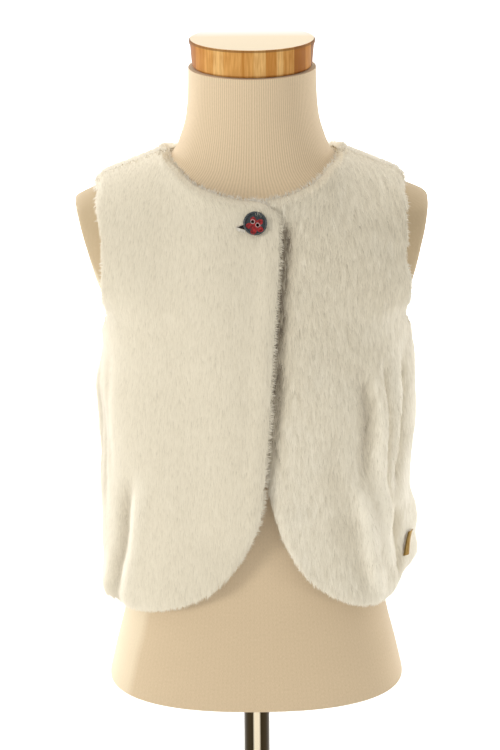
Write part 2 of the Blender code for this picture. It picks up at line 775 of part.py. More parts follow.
def make_button(material):
    """A round button with a raised rim and two holes, flat on the right front."""
    rim_foot = BUTTON_RADIUS - BUTTON_RIM
    profile = [
        (0, 0),
        (rim_foot, 0),
        (BUTTON_RADIUS, BUTTON_THICKNESS * 0.45),
        (BUTTON_RADIUS - BUTTON_RIM * 0.3, BUTTON_THICKNESS * 0.9),
        (BUTTON_RADIUS - BUTTON_RIM * 0.7, BUTTON_THICKNESS),
        (BUTTON_RADIUS - BUTTON_RIM * 1.5, BUTTON_THICKNESS - BUTTON_WELL),
        (0, BUTTON_THICKNESS - BUTTON_WELL),
    ]
    button = turned("button", profile, material)
    point, normal = inner_point(BUTTON_ACROSS, BUTTON_HEIGHT, over=True)
    seat = point + normal * (FUR_THICKNESS + SEAM_GAP)
    turn = Vector((0, 0, 1)).rotation_difference(Vector(normal)).to_matrix().to_4x4()
    place = Matrix.Translation(seat) @ turn @ Matrix.Rotation(BUTTON_TURN, 4, "Z")
    button.data.transform(place)
    for name, sign in (("button_hole_cutter_a", 1), ("button_hole_cutter_b", -1)):
        hole = cylinder(BUTTON_HOLE_RADIUS, -2 * MM, 6 * MM, sign * BUTTON_HOLE_SPREAD)
        cut(button, name, hole).data.transform(place)
    return button


def make_label(material):
    """A small metal plate that follows the left front's fur beside the side seam."""
    rows = np.linspace(-0.5, 0.5, 5) * LABEL_LENGTH
    columns = np.linspace(-0.5, 0.5, 4) * LABEL_WIDTH
    inner = np.empty((len(rows), len(columns), 3))
    outer = np.empty_like(inner)
    for i, j in np.ndindex(inner.shape[:2]):
        height = LABEL_HEIGHT + rows[i]
        across = seam_distance(height) + LABEL_FROM_SEAM + columns[j] + LABEL_LEAN * rows[i]
        point, normal = inner_point(across, height)
        inner[i, j] = point + normal * (FUR_THICKNESS + LABEL_SEAT)
        outer[i, j] = inner[i, j] + normal * LABEL_THICKNESS
    return wall("label", inner, outer, material)


def main():
    for old in list(bpy.data.objects):
        bpy.data.objects.remove(old)
    make_form(finish("form_jersey", (0.70, 0.56, 0.36), 0.85))
    make_neck_cap(finish("laminated_wood", (0.66, 0.36, 0.12), 0.35))
    make_stand(finish("chrome", (0.75, 0.75, 0.75), 0.12, 1.0))
    make_gilet(finish("cream_fur", (0.75, 0.68, 0.55), 0.9))
    make_button(finish("button_resin", (0.05, 0.08, 0.10), 0.3))
    make_label(finish("gold_metal", (0.80, 0.55, 0.20), 0.3, 1.0))


main()
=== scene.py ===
"""The looks of a child's short-pile fur gilet, closed by one button at the neck, on a padded dress form.

Metres, +Z up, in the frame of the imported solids: the wearer faces -Y and +X is the wearer's left.
The gilet's cloth is drawn again from its solids' cut, only finer, and carries the pile hair by hair.
"""

import math
from collections import namedtuple

import bmesh
import bpy
import numpy as np
from mathutils import Matrix, Vector


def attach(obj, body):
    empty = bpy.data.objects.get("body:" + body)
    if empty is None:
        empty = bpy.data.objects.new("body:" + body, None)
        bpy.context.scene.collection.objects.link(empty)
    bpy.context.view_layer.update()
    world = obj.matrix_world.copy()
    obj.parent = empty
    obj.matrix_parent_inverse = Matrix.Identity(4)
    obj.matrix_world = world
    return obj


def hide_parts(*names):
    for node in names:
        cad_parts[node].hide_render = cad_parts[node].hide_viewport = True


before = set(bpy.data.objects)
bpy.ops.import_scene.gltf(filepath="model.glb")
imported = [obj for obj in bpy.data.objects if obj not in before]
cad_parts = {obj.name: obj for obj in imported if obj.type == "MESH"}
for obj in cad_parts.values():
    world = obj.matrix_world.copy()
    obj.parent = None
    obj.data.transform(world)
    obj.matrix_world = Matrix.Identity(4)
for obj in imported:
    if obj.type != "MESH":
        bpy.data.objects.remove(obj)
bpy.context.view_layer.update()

MM = 0.001
SEED = 11

# The least number to divide by, and what keeps a centre point on its own side
LEAST = 1e-12
SIDE_OFFSET = 1e-9

# The photograph's frame and the camera that took it
PICTURE_HEIGHT = 750
FOCAL_PIXELS = 2475
CAMERA_PLACE = (0, -1.820, 1.070)
CAMERA_PITCH = math.radians(19.25)
CAMERA_YAW = math.radians(0.1065)
CAMERA_ROLL = math.radians(0.45)
SENSOR_HEIGHT = 36

# Clearances, as in the solids
SEAM_GAP = 0.3 * MM
SEAT_LIFT = 1.2 * MM
FUR_THICKNESS = 7.0 * MM

# Stand and dress form. The boss flares outwards by these lengths at these heights above the base.
BASE_RADIUS = 130 * MM
BASE_THICKNESS = 9 * MM
BASE_EDGE = 4 * MM
BASE_FOOT_CHAMFER = 1 * MM
BASE_SHOULDER = (2.5 * MM, 1.8 * MM)
BOSS_RADIUS = 19 * MM
BOSS_TOP = 26 * MM
BOSS_FLARE = [(12 * MM, 0), (3 * MM, 2 * MM), (0, 6 * MM)]
BOSS_CHAMFER = 1.5 * MM
POLE_RADIUS = 10.5 * MM
POLE_FOOT = 5 * MM
POLE_IN_FORM = 60 * MM
FORM_UNDERSIDE = 184 * MM
NECK_TOP = 678.7 * MM
CAP_TOP = 700 * MM
CAP_TOP_RADIUS = 47 * MM
CAP_FOOT_RADIUS = 45 * MM
CAP_CHAMFER = 1.6 * MM
ARM_PLATE_HEIGHT = 576 * MM
ARM_PLATE_TURN = math.radians(2.3)
ARM_PLATE_FOOT = 480 * MM
ARM_PLATE_ROUND = 1.3 * MM

# Gilet, as heights above the floor
NECK_POINT = 613 * MM
SHOULDER_TIPS = {-1: 588 * MM, 1: 590.2 * MM}
CHEST_LINE = 540 * MM
UNDERARM = 478 * MM
BACK_NECK = 607 * MM
BACK_NECK_POWER = 2.4
OVERLAP_FOOT = 318 * MM
OVERLAP_FADE = 40 * MM
OVERLAP_RAMP = 60 * MM
OVERLAP_RISE = 0.85 * OVERLAP_RAMP
EDGE_LIFT = 3.4 * MM
EDGE_LIFT_WIDTH = 18 * MM
PRESSED_DEPTH = 3.0 * MM
PRESSED_WIDTH = 6.6 * MM
PRESSED_SHARE = 0.6
GROOVE_SHIFT = 0.3
GROOVE_CORNER_FADE = 10 * MM

# Button and label
BUTTON_RADIUS = 8.8 * MM
BUTTON_THICKNESS = 3.2 * MM
BUTTON_RIM = 1.6 * MM
BUTTON_WELL = 0.8 * MM
BUTTON_ACROSS = 1.3 * MM
BUTTON_HEIGHT = 574.2 * MM
BUTTON_HOLE_RADIUS = 1.1 * MM
BUTTON_HOLE_SPREAD = 2.2 * MM
BUTTON_TURN = math.radians(-35)
BUTTON_FLOOR = 0.66 * BUTTON_RADIUS
BARE_RADIUS = 0.7 * BUTTON_RADIUS
SLIT_FROM = -12.5 * MM
SLIT_TO = 4 * MM
SLIT_HEIGHT = 576.4 * MM
SLIT_WIDTH = 3.0 * MM
SLIT_OPEN = 4.4 * MM
SLIT_MOUTH = BUTTON_ACROSS - BUTTON_RADIUS * 0.8
SLIT_CUT = (-110 * MM, -30 * MM)
STITCHES = 8
STITCH_LENGTH = 1.8 * MM
STITCH_RADIUS = 0.28 * MM
STITCH_TURN = 0.3 * MM
# The near-black sheet that fills the slit as painted shadow: its gap from the slit's lips and its depth below
# the cloth's face
SLIT_SHADOW_GAP = 0.4 * MM
SLIT_SHADOW_DEPTH = 1.0 * MM
SHANK_RADIUS = 4.2 * MM
LABEL_WIDTH = 5 * MM
LABEL_LENGTH = 18 * MM
LABEL_THICKNESS = 0.9 * MM
LABEL_SEAT = 0.8 * MM
LABEL_ARCH = 1.1 * MM
LABEL_FROM_SEAM = -16 * MM
LABEL_HEIGHT = 299 * MM
LABEL_LEAN = 0.36

# Cloth under the pile, drawn in from the solids' edges by as much as the hair tips stand past it
CLOTH_THICKNESS = 4.4 * MM
SHOULDER_PLUMP = 0.45
EDGE_ROLL = (0.35, 0.7, 0.9)
ARMHOLE_ROLL = (0.75, 0.92, 1)
HEM_INSET = 3.0 * MM
FRONT_EDGE_INSET = 2.2 * MM
NECK_INSET = 1.6 * MM
ARMHOLE_INSET = 1.8 * MM

# Surfaces. The wales' pitch is that on a ring as long as the cover's map is wide. Pairs of lengths tell
# where the neck's stretched knit, a painted shade or a painted highlight sets in and where it is full. On the
# right arm stub the jersey has a painted highlight where x + STRIP_SLOPE * z is below STRIP_LINE. The wood
# strips start at these places across the cap, and the print on the button is measured, in millimetres.
COVER_WIDTH = 700 * MM
WALE_PITCH = 3.9 * MM
WAVE_RADIANS = 20
NECK_KNIT = (570 * MM, 620 * MM)
# Painted shade on the arm stubs and low down, and painted highlights low on the right side and on the right
# arm stub
STUB_HEIGHTS = (440 * MM, 500 * MM)
STUB_SIDES = (95 * MM, 112 * MM)
PAINTED_SHADE_FOOT = (340 * MM, 260 * MM)
PAINTED_LIGHT_FOOT = (330 * MM, 300 * MM)
STRIP_SLOPE = 0.516
STRIP_LINE = 155.9 * MM
STRIP_BLUR = 2 * MM
# Painted highlight on the cap's top, from pale to near white between these places towards the back
CAP_TOP_HIGHLIGHT = (4 * MM, 26 * MM)
CAP_LINE = CAP_TOP - 1.0 * MM
CAP_LINE_WIDTH = 1.5 * MM
# The dark wood, used only for the strips at both ends, is painted shade on the cap's sides
WOODS = {
    "honey": (0.67, 0.345, 0.098),
    "pale": (0.78, 0.47, 0.17),
    "amber": (0.55, 0.245, 0.056),
    "red": (0.34, 0.12, 0.024),
    "dark": (0.15, 0.06, 0.018),
}
WOOD_STRIPS = [
    (-47, "dark"),
    (-44.5, "red"),
    (-41.5, "amber"),
    (-35, "honey"),
    (-29, "pale"),
    (-21, "honey"),
    (-7.8, "amber"),
    (-5.6, "honey"),
    (1, "pale"),
    (9.8, "amber"),
    (17.8, "pale"),
    (22.4, "honey"),
    (30.6, "red"),
    (39.2, "amber"),
    (43.6, "dark"),
]
FLOWER_CENTRE = (1.0, -1.4)
FLOWER_RADIUS = 6.8
FLOWER_PETALS = 5
# Painted highlights on the button: pale rings this far out from each hole's edge and this wide
HOLE_HIGHLIGHT = 0.35
HOLE_HIGHLIGHT_WIDTH = 0.34

# Pile. Neighbouring hairs make a lock, and a coat's tousle multiplies what sets one lock off from the next.
# Rises off the cloth are in degrees and leans in radians. Tones run from 0 to 1; painted light and shade add
# to them.
HAIR_WIDTH = 0.5 * MM
HAIR_MIDDLE_WIDTH = 0.8
HAIR_LENGTHS = (6 * MM, 9 * MM)
SHORTEST_HAIR = 0.8 * MM
LOCK_WIDTH = 1.48 * MM
LOCK_LENGTH = 5.5 * MM
LOCKS = 4096
LOCK_MIXERS = (7919, 104729)
WAVES = 9
WAVE_LENGTHS = (0.7, 1.5)
WAVE_SCALE = 0.8
WANDER = 0.8 * MM
WANDER_SIZES = (14 * MM, 9 * MM)
SWIRL = 0.10
SWIRL_SIZE = 55 * MM
BRUSHED_SIZE = 38 * MM
LOCK_LEAN = 0.13
HAIR_LEAN = 0.06
LENGTH_SPREAD = 0.10
ROOT_RISE = 24
ROOT_SPREAD = 3
TIP_RISE = 4
TIP_SPREAD = 2
LOCK_RISE = 2.5
MIDDLE_SHARE = 0.45
GATHER_MIDDLE = 0.15
GATHER_TIP = 0.25
SWAY_LOCK = 0.12
SWAY_BRUSHED = 0.16
NAP_TURN = 50 * MM
STREAK_WIDTH = 2.6 * MM
STREAK_SHARE = 0.12
STREAK_TONE = 0.01
STREAK_TOUSLE = 0.085
MIDDLE_TONE = 0.5
TIP_TONE = 0.3
LOCK_TONE = 0.11
HAIR_TONE = 0.04
BRUSHED_TONE = 0.06
HEM_FRINGE = 3.6 * MM
HEM_FRINGE_SPREAD = (0.55, 1.15)
FRINGE_LENGTHS = (2 * MM, 6 * MM)
FRINGE_SPACING = 0.25 * MM
FRINGE_ROOTS = (0.2, 1)
FRINGE_SIDEWAYS = 0.8
FRONT_EDGE_SIDEWAYS = 0.75
SHOULDER_SIDEWAYS = 0.95
FRINGE_SPREAD = 0.28
FRINGE_LIFT = 0.35
FRINGE_DROOP = 0.1
FRINGE_TONE = 0.55
FRINGE_TONE_SPREAD = 0.15
FRINGE_FACING = 0.4
# Painted light and shade on the hair of narrow folds: ridges and flanks that face the key light paler,
# hollows and flanks that face away darker
FOLD_PAINTED_SHADING = 0.075 / MM
HOLLOW_SHARE = 1.3
WIDEST_SHADED = 12
SLOPE_PAINTED_SHADING = 0.26
SHADE_RANGE = (-0.5, 0.36)
# Painted light by the height on the left front's hair: paler low down and a little darker high up
HEIGHT_SHADE = 0.24
HEIGHT_SHADE_RUN = 180 * MM
HEIGHT_SHADE_NONE = 0.25
# Painted shadow on the left front's hair in the groove beside the right front's edge
GROOVE_PAINTED_SHADOW = 0.7
DARKEST_TONE = 0
COVERED_HAIR = 8 * MM

# How finely the surfaces are drawn
RING_STEPS = 161
SEAM_ROWS = 54
UNDERARM_ROWS = 26
YOKE_ROWS = 34
SHOWN_EDGE_ROWS = 14
CHEST_ROWS = SEAM_ROWS + UNDERARM_ROWS
NECK_COLUMNS = 38
SHOULDER_COLUMNS = 26
COLUMNS = NECK_COLUMNS + SHOULDER_COLUMNS + 1
NECK_SHARE = 0.72
CHEST_STEPS = 100
FORM_ROWS = 190
FORM_COLUMNS = 144
TURNED_STEPS = 128
EDGE_POINTS = 60
SEAM_POINTS = 30
CURVE_POINTS = 40
SLIT_END_POINTS = 13
RIM_POINTS = 9
BUTTON_STEPS = 96
THREAD_STEPS = 24
STITCH_STEPS = 8
LABEL_ROWS = 13
LABEL_COLUMNS = 11

# Studio, in metres and watts. The surround brightens from front to back. A lamp's spread is in degrees.
FLOOR_SIZE = 6
FLOOR_DROP = 0.2 * MM
SURROUND_RUN = (-0.9, 0.4)
SURROUND_GLOW = (0.34, 1.06)
Lamp = namedtuple("Lamp", "name place target size power spread")
LAMPS = [
    Lamp("key", (-1.7, -1.5, 1.3), (0, 0, 0.45), 0.6, 23, 180),
    Lamp("top", (0, 2.2, 2.4), (0, 2.0, 0), 2.4, 60, 80),
    Lamp("left_rim", (-1.25, 1.3, 0.7), (0, 0, 0.4), 0.3, 14, 180),
    Lamp("right_rim", (1.4, 1.1, 0.7), (0, 0, 0.4), 0.3, 6, 180),
    Lamp("right_side", (1.7, -0.9, 0.6), (0, 0, 0.42), 0.5, 3.6, 180),
]

# Rings of the padded form, in millimetres. The shoulders run on sideways until the arm plates cut them.
Section = namedtuple("Section", "height half_width front back roundness")
FORM_SECTIONS = [
    Section(184, 118, 82, 82, 2.4),
    Section(208, 112.5, 82, 79, 2.4),
    Section(234, 106, 80.5, 75, 2.35),
    Section(280, 98, 77, 70, 2.3),
    Section(330, 95, 75, 66, 2.2),
    Section(380, 97, 76, 66, 2.2),
    Section(430, 100.8, 80, 70, 2.2),
    Section(465, 102.4, 82, 74, 2.2),
    Section(480, 105.6, 81.8, 75, 2.2),
    Section(500, 114.6, 80.5, 76, 2.15),
    Section(530, 141, 76, 75, 2.1),
    Section(560, 149, 69, 70, 2.0),
    Section(573, 144, 65, 67, 1.9),
    Section(581, 132, 62, 65, 1.8),
    Section(587.3, 118, 59, 63, 1.75),
    Section(594, 101.5, 57, 61, 1.7),
    Section(600.5, 84.5, 55, 58, 1.75),
    Section(607, 69, 53.2, 56, 1.85),
    Section(612, 61.5, 52, 54, 1.95),
    Section(617, 58, 51.2, 52.5, 2.0),
    Section(624, 55.2, 50.5, 51, 2.0),
    Section(642, 50, 49, 49, 2.0),
    Section(660, 48.3, 48, 48, 2.0),
    Section(678.7, 47.8, 47.6, 47.6, 2.0),
]

# How far the gilet's inside stands off the form's rings, in millimetres
Ease = namedtuple("Ease", "height side front back")
GILET_EASE = [
    Ease(246, 12, 11, 9),
    Ease(290, 15, 13, 10),
    Ease(340, 16.5, 14, 12),
    Ease(385, 15.5, 12.5, 11.5),
    Ease(425, 14.6, 8.5, 8),
    Ease(460, 10.2, 5, 5),
    Ease(480, 7.2, 4.5, 4),
    Ease(500, 2.2, 4, 3),
    Ease(545, 1.5, 3, 2),
    Ease(580, 0.6, 1.6, 1.2),
    Ease(625, 0.4, 0.6, 0.6),
]

# The flat arm plates: how far out each is at its height, in millimetres, and how much it leans in below
ArmPlate = namedtuple("ArmPlate", "side out lean")
ARM_PLATES = [
    ArmPlate(1, 131.4, 0.244),
    ArmPlate(-1, 134.8, 0.29),
]

# Cut of the fronts. A front edge runs from the start of the hem's curve to the neck corner, in millimetres
# past the centre front, and the curve takes it on to the hem.
EdgePoint = namedtuple("EdgePoint", "height past_centre")
FrontCut = namedtuple("FrontCut", "side hem curve_width curve_power curve_lean edge")
RIGHT_CUT = FrontCut(
    side=-1,
    hem=259.4 * MM,
    curve_width=146 * MM,
    curve_power=2.38,
    curve_lean=0.055,
    edge=[
        EdgePoint(384, 8.1),
        EdgePoint(410, 10.2),
        EdgePoint(450, 12.7),
        EdgePoint(495, 14.8),
        EdgePoint(522, 17.1),
        EdgePoint(572, 19.8),
        EdgePoint(578, 18.6),
        EdgePoint(583, 15.1),
    ],
)
LEFT_CUT = FrontCut(
    side=1,
    hem=265 * MM,
    curve_width=92 * MM,
    curve_power=2.04,
    curve_lean=0.081,
    edge=[
        EdgePoint(388, -7.5),
        EdgePoint(412, -5),
        EdgePoint(450, 0.5),
        EdgePoint(520, 8),
        EdgePoint(576, 12),
        EdgePoint(584, 10),
    ],
)

# Front neck edge, in millimetres across from the centre front
NeckPoint = namedtuple("NeckPoint", "across height")
FRONT_NECK = [
    NeckPoint(-1, 591.2),
    NeckPoint(9, 592.1),
    NeckPoint(19, 593.5),
    NeckPoint(30, 595.8),
    NeckPoint(42, 599.5),
    NeckPoint(53, 604.5),
    NeckPoint(64, 609.5),
]

# Armhole edges above their round foot, in millimetres from the centre line
ArmholePoint = namedtuple("ArmholePoint", "height right_front left_front back")
ARMHOLE = [
    ArmholePoint(510, 113, 117, 112),
    ArmholePoint(528, 112.4, 116.4, 111.5),
    ArmholePoint(545, 111.8, 112, 111),
    ArmholePoint(570, 112, 110, 112),
    ArmholePoint(583, 113.6, 111.2, 113.6),
]

# Folds and creases, in millimetres. side is +1 on the wearer's left. Distances run from the side seam and
# are negative towards the front. A negative depth is a trough. The first list holds the folds that the
# solids have, and the second one finer creases, which sway a little as they fall.
Fold = namedtuple("Fold", "side top bottom from_seam_top from_seam_bottom width depth")
FOLDS = [
    Fold(1, 485, 360, 0, 0, 26, 2.2),
    Fold(1, 475, 360, -76, -74, 9, -3.0),
    Fold(1, 475, 340, -54, -48, 8, -3.2),
    Fold(1, 470, 340, -33, -37, 8, -3.4),
    Fold(1, 352, 268, -35, -27, 9, -6.0),
    Fold(1, 345, 255, 6, 4, 15, 7.0),
    Fold(1, 290, 225, 8, 0, 34, -9.0),
    Fold(1, 375, 262, -90, -72, 9, -2.2),
    Fold(-1, 460, 320, -22, -20, 7, -2.6),
    Fold(-1, 456, 370, 4, 2, 13, 3.2),
    Fold(-1, 385, 248, -62, -38, 8, -3.0),
    Fold(-1, 290, 225, -8, -8, 30, 4.0),
    Fold(1, 440, 250, 52, 46, 10, -3.2),
    Fold(-1, 440, 250, 50, 44, 10, -3.2),
    Fold(1, 400, 240, 88, 84, 12, -2.4),
    Fold(-1, 380, 240, 92, 86, 12, -2.4),
    Fold(1, 460, 286, -2, -2, 24, 4.4),
    Fold(-1, 404, 262, -2, -2, 26, 4.2),
]
CREASES = [
    Fold(1, 478, 364, -77, -74, 5, -2.0),
    Fold(1, 484, 290, -64, -53, 5, 5.4),
    Fold(1, 480, 338, -56, -50, 4, -4.6),
    Fold(1, 486, 342, -41, -45, 5, 4.4),
    Fold(1, 476, 350, -31, -37, 4, -4.2),
    Fold(1, 348, 274, -35, -27, 6, -2.8),
    Fold(1, 386, 264, -81, -59, 5, 4.6),
    Fold(1, 366, 292, -60, -46, 4, 3.4),
    Fold(1, 440, 300, -104, -92, 9, -1.8),
    Fold(1, 330, 262, -44, -40, 5, 2.2),
    Fold(1, 352, 268, -2, -3, 7, 3.0),
    Fold(1, 548, 424, 0, 0, 24, 4.2),
    Fold(1, 305, 225, 4, 0, 30, 4.5),
    Fold(-1, 398, 260, -79, -52, 8, 2.8),
    Fold(-1, 390, 262, -66, -38, 8, -1.4),
    Fold(-1, 476, 340, -11, -9, 4, -2.2),
    Fold(-1, 480, 350, -36, -32, 6, -1.4),
    Fold(-1, 310, 248, -30, -24, 7, 2.2),
    Fold(1, 470, 300, 30, 25, 6, -2.4),
    Fold(1, 430, 280, 68, 62, 7, 1.8),
    Fold(-1, 460, 330, 28, 22, 5, -2.2),
    Fold(-1, 400, 262, 70, 64, 8, 2.0),
]
CREASE_SWAY = 1.3
CREASE_SWAY_LENGTH = 11
FOLD_RISE = 0.35
FOLD_FALL = 0.3

# The rectangle that each panel is cut from and its flat area
PanelCut = namedtuple("PanelCut", "width length area")
RIGHT_PANEL = PanelCut(0.180, 0.380, 0.053)
LEFT_PANEL = PanelCut(0.166, 0.374, 0.048)
BACK_PANEL = PanelCut(0.322, 0.392, 0.102)


def smooth_curve(places, values):
    """A curve through the points that never swings past them, as a function of the place."""
    places = np.array(places, float)
    values = np.array(values, float)
    steps = np.diff(places)
    slopes = np.diff(values) / steps
    tangents = np.concatenate([slopes[:1], np.zeros(len(slopes) - 1), slopes[-1:]])
    before = slopes[:-1]
    after = slopes[1:]
    together = before * after > 0
    tangents[1:-1] = np.where(together, 2 * before * after / np.where(together, before + after, 1), 0)

    def at(place):
        place = np.clip(place, places[0], places[-1])
        i = np.clip(np.searchsorted(places, place) - 1, 0, len(steps) - 1)
        t = (place - places[i]) / steps[i]
        level = (1 + 2 * t) * (1 - t) ** 2 * values[i] + t * t * (3 - 2 * t) * values[i + 1]
        rise = t * (1 - t) ** 2 * tangents[i] + t * t * (t - 1) * tangents[i + 1]
        return level + rise * steps[i]

    return at


def column_curves(table):
    """One smooth curve over the height for each other column of a table, in metres."""
    heights = [row.height * MM for row in table]
    names = [name for name in table[0]._fields if name != "height"]
    scales = {name: 1 if name == "roundness" else MM for name in names}
    columns = {name: [getattr(row, name) * scales[name] for row in table] for name in names}
    return {name: smooth_curve(heights, column) for name, column in columns.items()}


FORM = column_curves(FORM_SECTIONS)
EASE = column_curves(GILET_EASE)
RIGHT_PAST_CENTRE = column_curves(RIGHT_CUT.edge)["past_centre"]
LEFT_PAST_CENTRE = column_curves(LEFT_CUT.edge)["past_centre"]


def soft_step(value):
    """0 below 0, 1 above 1, and smooth between."""
    value = np.clip(value, 0, 1)
    return value * value * (3 - 2 * value)


def unit(vectors):
    """Vectors at length 1."""
    return vectors / np.maximum(np.linalg.norm(vectors, axis=-1, keepdims=True), LEAST)


def lengths_along(points):
    """How far along a line of points each of them lies."""
    return np.concatenate([[0], np.cumsum(np.linalg.norm(np.diff(points, axis=0), axis=1))])


def points_at(places, along, line):
    """Points at some places along a line, given how far along it each of its own points lies."""
    return np.stack([np.interp(places, along, column) for column in line.T], axis=1)


def half_rings(half_width, front, back, roundness):
    """Points of several levels from front to back by the +X side, and how far along its level each lies."""
    angles = np.linspace(-math.pi / 2, math.pi / 2, RING_STEPS)
    power = 2 / roundness[:, None]
    x = half_width[:, None] * np.abs(np.cos(angles)) ** power
    y = np.where(angles < 0, -front[:, None], back[:, None]) * np.abs(np.sin(angles)) ** power
    steps = np.hypot(np.diff(x, prepend=x[:, :1]), np.diff(y, prepend=y[:, :1]))
    return x, y, np.cumsum(steps, axis=1)


def gilet_rings(height):
    """The half rings that the inside of the gilet follows at several heights."""
    seat = height - SEAT_LIFT
    return half_rings(
        FORM["half_width"](seat) + EASE["side"](height),
        FORM["front"](seat) + EASE["front"](height),
        FORM["back"](seat) + EASE["back"](height),
        FORM["roundness"](seat),
    )


def look_up(places, known, *columns):
    """Each column's value where its row of rising known values reaches the row's own place."""
    i = np.clip((known < places[:, None]).sum(axis=1) - 1, 0, known.shape[1] - 2)[:, None]
    low = np.take_along_axis(known, i, 1)
    high = np.take_along_axis(known, i + 1, 1)
    share = np.clip((places[:, None] - low) / np.maximum(high - low, LEAST), 0, 1)
    found = []
    for column in columns:
        start = np.take_along_axis(column, i, 1)
        found.append((start + share * (np.take_along_axis(column, i + 1, 1) - start))[:, 0])
    return found


def seam_distance(height, behind=False):
    """Distance along the rings from the centre front, or from the centre back, to the side seam."""
    height = np.asarray(height, float)
    along = gilet_rings(height.reshape(-1))[2]
    to_side = along[:, RING_STEPS // 2]
    return (along[:, -1] - to_side if behind else to_side).reshape(height.shape)


def seam_edge(height, behind=False):
    """Distance along the rings to a panel's own edge at its side or shoulder seam."""
    return seam_distance(height, behind) - SEAM_GAP / 2


def distance_at_width(height, width, behind):
    """Distance along the rings from the centre front, or the centre back, to where they are this wide."""
    x, _, along = gilet_rings(height)
    side = RING_STEPS // 2
    if behind:
        return look_up(width, x[:, side:][:, ::-1], (along[:, -1:] - along[:, side:])[:, ::-1])[0]
    return look_up(width, x[:, : side + 1], along[:, : side + 1])[0]


def ring_points(flat, behind=False):
    """Where flat points lie on the gilet's rings: across from the centre front or back, and up."""
    across, height = np.asarray(flat, float).reshape(-1, 2).T
    x, y, along = gilet_rings(height)
    distance = along[:, -1] - np.abs(across) if behind else np.abs(across)
    x, y = look_up(distance, along, x, y)
    return np.stack([np.copysign(x, across), y, height], axis=1).reshape(np.shape(flat)[:-1] + (3,))


def outward(flat, behind=False):
    """The directions that face out of the cloth at flat points."""
    reach = 3 * MM
    sideways = ring_points(flat + (reach, 0), behind) - ring_points(flat - (reach, 0), behind)
    upwards = ring_points(flat + (0, reach), behind) - ring_points(flat - (0, reach), behind)
    return unit(np.cross(upwards, sideways) if behind else np.cross(sideways, upwards))


def fold_offset(flat, behind, folds):
    """How far some folds push the cloth out at flat points."""
    across = flat[..., 0]
    level = flat[..., 1] / MM
    past_seam = (np.abs(across) - seam_distance(flat[..., 1], behind)) / MM
    from_seam = -past_seam if behind else past_seam
    total = np.zeros(across.shape)
    for fold in folds:
        run = np.clip((fold.top - level) / (fold.top - fold.bottom), 0, 1)
        middle = fold.from_seam_top + run * (fold.from_seam_bottom - fold.from_seam_top)
        if fold in CREASES:
            middle = middle + CREASE_SWAY * np.sin(level / CREASE_SWAY_LENGTH + fold.top)
        envelope = soft_step(run / FOLD_RISE)
        if fold.bottom * MM > RIGHT_CUT.hem:
            envelope *= soft_step((1 - run) / FOLD_FALL)
        push = fold.depth * envelope * np.exp(-(((from_seam - middle) / fold.width) ** 2))
        total += np.where(across * fold.side > 0, push, 0)
    return total * MM


def overlap_lift(flat):
    """How far the right front is held off by the left front that lies under its edge."""
    across, height = flat[..., 0], flat[..., 1]
    start = -LEFT_PAST_CENTRE(height) - OVERLAP_RAMP
    fade = soft_step((height - OVERLAP_FOOT) / OVERLAP_FADE)
    lying = (FUR_THICKNESS + 2 * SEAM_GAP) * soft_step((across - start) / OVERLAP_RISE)
    near_edge = soft_step((across - RIGHT_PAST_CENTRE(height) + EDGE_LIFT_WIDTH) / EDGE_LIFT_WIDTH)
    return (lying + EDGE_LIFT * near_edge) * fade


def edge_groove(flat):
    """1 in the groove that the right front's edge presses into the left front, and 0 away from it."""
    across, height = flat[..., 0], flat[..., 1]
    beside = (across - RIGHT_PAST_CENTRE(height)) / PRESSED_WIDTH
    above_foot = soft_step((height - RIGHT_CUT.edge[0].height * MM) / OVERLAP_FADE)
    below_corner = soft_step((RIGHT_CUT.edge[-1].height * MM - height) / GROOVE_CORNER_FADE)
    return above_foot * below_corner * np.exp(-((beside - GROOVE_SHIFT) ** 2))


def pressed_in(flat):
    """How far the left front is pressed in along the right front's edge."""
    room = EASE["front"](flat[..., 1]) * PRESSED_SHARE
    return np.minimum(PRESSED_DEPTH, room) * edge_groove(flat)


def inner_points(flat, behind=False, over=False, under=False):
    """The inside of the cloth with its folds, and the directions out of it.

    over is for the right front and under is for the left one.
    """
    normals = outward(flat, behind)
    push = fold_offset(flat, behind, FOLDS + CREASES)
    if over:
        push += overlap_lift(flat)
    if under:
        push -= pressed_in(flat)
    return ring_points(flat, behind) + normals * push[..., None], normals


def slit_level():
    """The height on the flat cloth that lies at the slit's height once the cloth is on the form."""
    points, normals = inner_points(np.array([(SLIT_FROM, SLIT_HEIGHT)]), over=True)
    return 2 * SLIT_HEIGHT - (points + normals * CLOTH_THICKNESS)[0, 2]


def even_steps(line, count, behind=False):
    """Flat points spaced evenly along a line of flat points as it lies on the form."""
    line = np.array(line, float)
    along = lengths_along(ring_points(line, behind))
    places = np.linspace(0, along[-1], count)
    return points_at(places, along, line)


def hem_curve(cut, turns):
    """Points of a front's rounded hem: a turn is 0 on the front edge and 1 on the level hem.

    The curve leans away from the centre from its start on, as the edge above it does.
    """
    start = cut.edge[0]
    angles = np.array(turns) * math.pi / 2
    power = 2 / cut.curve_power
    drop = (start.height * MM - cut.hem) * np.sin(angles) ** power
    across = cut.curve_lean * drop - start.past_centre * MM
    across += cut.curve_width * (1 - np.abs(np.cos(angles)) ** power)
    return np.stack([cut.side * across, start.height * MM - drop], axis=1)


def front_edge_line(cut, past_centre):
    """The front edge from half way round the hem's curve up to its neck corner."""
    heights = np.linspace(cut.edge[0].height * MM, cut.edge[-1].height * MM, EDGE_POINTS)[1:]
    edge = np.stack([-cut.side * past_centre(heights), heights], axis=1)
    return np.concatenate([hem_curve(cut, np.linspace(0.5, 0, CURVE_POINTS // 2)), edge])


def hem_line(cut):
    """The hem from half way round its curve to the side seam."""
    seam = [(cut.side * seam_edge(cut.hem), cut.hem)]
    return np.concatenate([hem_curve(cut, np.linspace(0.5, 1, CURVE_POINTS // 2)), seam])


